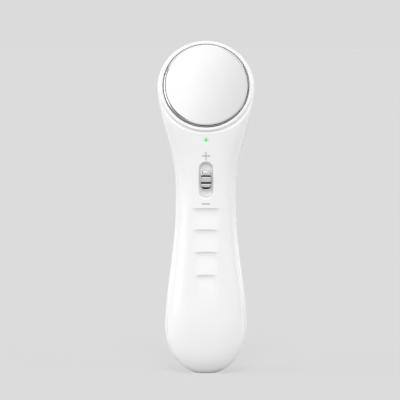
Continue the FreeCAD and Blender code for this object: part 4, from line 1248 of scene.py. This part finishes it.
@dataclass
class Studio:
    """Pale floor and surround, black cards for mirrors, soft lamps and the camera."""

    ground: str = "#DBDBDB"
    floor_colour: str = "#CACACA"
    floor_shown: str = "#E2E2E2"
    card_colour: str = "#1A1A1A"
    surround: float = 0.61
    mirrored_left: float = 1.18
    mirrored_right: float = 0.8
    far_left_share: float = 0.7
    slope: Point = (1.0, 0.0, -0.5)
    slope_far_left: float = -1.1
    slope_left: float = -0.41
    slope_right: float = -0.09
    seen_share: float = 0.65
    half_floor_m: float = 20.0
    plate_height_m: float = 0.141
    arc_elevation_deg: float = 35.0
    arc_spread_deg: tuple[float, float] = (25.0, 50.0)
    arc_turn_deg: tuple[float, float] = (150.0, 242.0)
    arc_points: int = 40
    cards_m: tuple[tuple[str, Point, Point], ...] = (
        ("front_card", (-0.5, -0.25, 0.002), (0.5, -0.05, 0.002)),
        ("left_card", (-0.7, 0.3, 0.0), (-0.7, -0.15, 0.8)),
        ("right_card", (0.7, 0.25, 0.0), (0.7, -0.3, 0.8)),
    )
    lamps: tuple[Lamp, ...] = (
        Lamp("front_top", azimuth=0.0, elevation=52.0, spread=24.0, strength=1.0, mirrored=False),
        Lamp("fill_right", azimuth=62.0, elevation=12.0, spread=50.0, strength=0.65, mirrored=False),
        Lamp("key_left", azimuth=-74.0, elevation=14.0, spread=56.0, strength=1.35),
        Lamp("rim_right", azimuth=122.0, elevation=7.0, spread=36.0, strength=0.5),
        Lamp("rim_left", azimuth=-124.0, elevation=7.0, spread=36.0, strength=0.4),
    )
    camera_elevation_deg: float = 3.5
    camera_distance_m: float = 1.4
    frame_width_m: float = 0.1961
    aim_m: Point = (-0.00294, -0.004, 0.0851)

    def floor(self) -> None:
        """Adds the floor, which takes the object's shadow over a part that is always its own grey."""
        made = bpy.data.materials.new("pale_floor")
        tree = empty_tree(made)
        seen = add_node(tree, "LightPath").outputs["Is Camera Ray"]
        share = add_node(tree, "Math", {0: seen, 1: self.seen_share}, operation="MULTIPLY")
        lit = add_node(tree, "BsdfDiffuse", {"Color": linear(self.floor_colour)})
        even = add_node(tree, "Emission", {"Color": linear(self.floor_shown), "Strength": 1.0})
        both = add_node(tree, "MixShader", {0: share.outputs[0], 1: lit.outputs[0], 2: even.outputs[0]})
        add_node(tree, "OutputMaterial", {"Surface": both.outputs[0]})
        half = self.half_floor_m
        floor = flat_face("floor", rectangle((-half, -half, 0.0), (half, half, 0.0)), made)

    def card(self, name: str, corners: np.ndarray) -> None:
        """Adds a black card that shows only as a dark line in what mirrors it.

        Args:
            name: name of the card.
            corners: its corners in order round it, in metres.
        """
        made = bpy.data.materials.new(name)
        tree = empty_tree(made)
        black = add_node(tree, "BsdfDiffuse", {"Color": linear(self.card_colour)})
        add_node(tree, "OutputMaterial", {"Surface": black.outputs[0]})
        card = flat_face(name, corners, made)
        card.visible_camera = False
        card.visible_diffuse = False
        card.visible_shadow = False

    def dark_arc(self) -> None:
        """Adds a black arc round the direction that the plate mirrors, for a dark line inside its edge.

        The arc is a part of a ring that lies across that direction, between two angles from it.
        """
        ahead, up = leaned(self.arc_elevation_deg)
        turn = np.radians(np.linspace(*self.arc_turn_deg, self.arc_points))[:, None]
        inner, outer = np.tan(np.radians(self.arc_spread_deg))
        around = np.cos(turn) * (1, 0, 0) + np.sin(turn) * up
        ring = np.vstack([ahead + outer * around, (ahead + inner * around)[::-1]])
        self.card("dark_arc", ring + (0, 0, self.plate_height_m))

    def world(self) -> None:
        """Makes the surround: plain grey where it is seen, and paler to the upper left where it is mirrored.

        The mirrored strength eases from right to left along the slope, then falls off to the far left.
        """
        made = bpy.data.worlds.new("studio")
        tree = empty_tree(made)
        white = linear("#FFFFFF")
        path = add_node(tree, "LightPath").outputs
        mirrored = add_node(tree, "Math", {
            0: path["Is Glossy Ray"], 1: path["Is Transmission Ray"],
        }, operation="MAXIMUM")
        direction = add_node(tree, "TexCoord").outputs["Generated"]
        slope = add_node(tree, "VectorMath", {0: direction, 1: self.slope}, operation="DOT_PRODUCT")
        graded = add_node(tree, "MapRange", {
            "Value": slope.outputs["Value"],
            "From Min": self.slope_left,
            "From Max": self.slope_right,
            "To Min": self.mirrored_left,
            "To Max": self.mirrored_right,
        }, interpolation_type="SMOOTHSTEP")
        falling = add_node(tree, "MapRange", {
            "Value": slope.outputs["Value"],
            "From Min": self.slope_far_left,
            "From Max": self.slope_left,
            "To Min": self.far_left_share,
            "To Max": 1.0,
        })
        strength = add_node(tree, "Math", {
            0: graded.outputs["Result"], 1: falling.outputs["Result"],
        }, operation="MULTIPLY")
        light = add_node(tree, "Background", {"Color": white, "Strength": self.surround})
        pale = add_node(tree, "Background", {"Color": white, "Strength": strength.outputs[0]})
        grey = add_node(tree, "Background", {"Color": linear(self.ground), "Strength": 1.0})
        lit = add_node(tree, "MixShader", {0: mirrored.outputs[0], 1: light.outputs[0], 2: pale.outputs[0]})
        both = add_node(tree, "MixShader", {0: path["Is Camera Ray"], 1: lit.outputs[0], 2: grey.outputs[0]})
        add_node(tree, "OutputWorld", {"Surface": both.outputs[0]})
        bpy.context.scene.world = made

    def camera(self) -> None:
        """Places the camera before the front, a little above it, on a long lens."""
        data = bpy.data.cameras.new("camera")
        data.lens = data.sensor_width * self.camera_distance_m / self.frame_width_m
        camera = add_object("camera", data)
        out, _ = leaned(self.camera_elevation_deg)
        camera.location = np.array(self.aim_m) + self.camera_distance_m * out
        camera.rotation_euler = (math.pi / 2 - math.radians(self.camera_elevation_deg), 0, 0)
        bpy.context.scene.camera = camera

    def build(self) -> None:
        """Sets up the whole studio."""
        self.floor()
        self.world()
        self.dark_arc()
        for name, start, end in self.cards_m:
            self.card(name, rectangle(start, end))
        for lamp in self.lamps:
            lamp.place()
        self.camera()
        bpy.context.scene.view_settings.view_transform = "Standard"


def main() -> None:
    """Builds and dresses the sub-assemblies in order, then sets up the studio."""
    logging.basicConfig(level=logging.INFO, format="%(name)s %(message)s")
    for assembly in (
        Case(FORM),
        Head(FORM),
        SlideSwitch(),
        Electronics(),
        BatteryBay(),
        VibrationMotor(),
        Studio(),
    ):
        assembly.build()
        LOG.info("built %s", type(assembly).__name__)


if __name__ == "__main__":
    main()
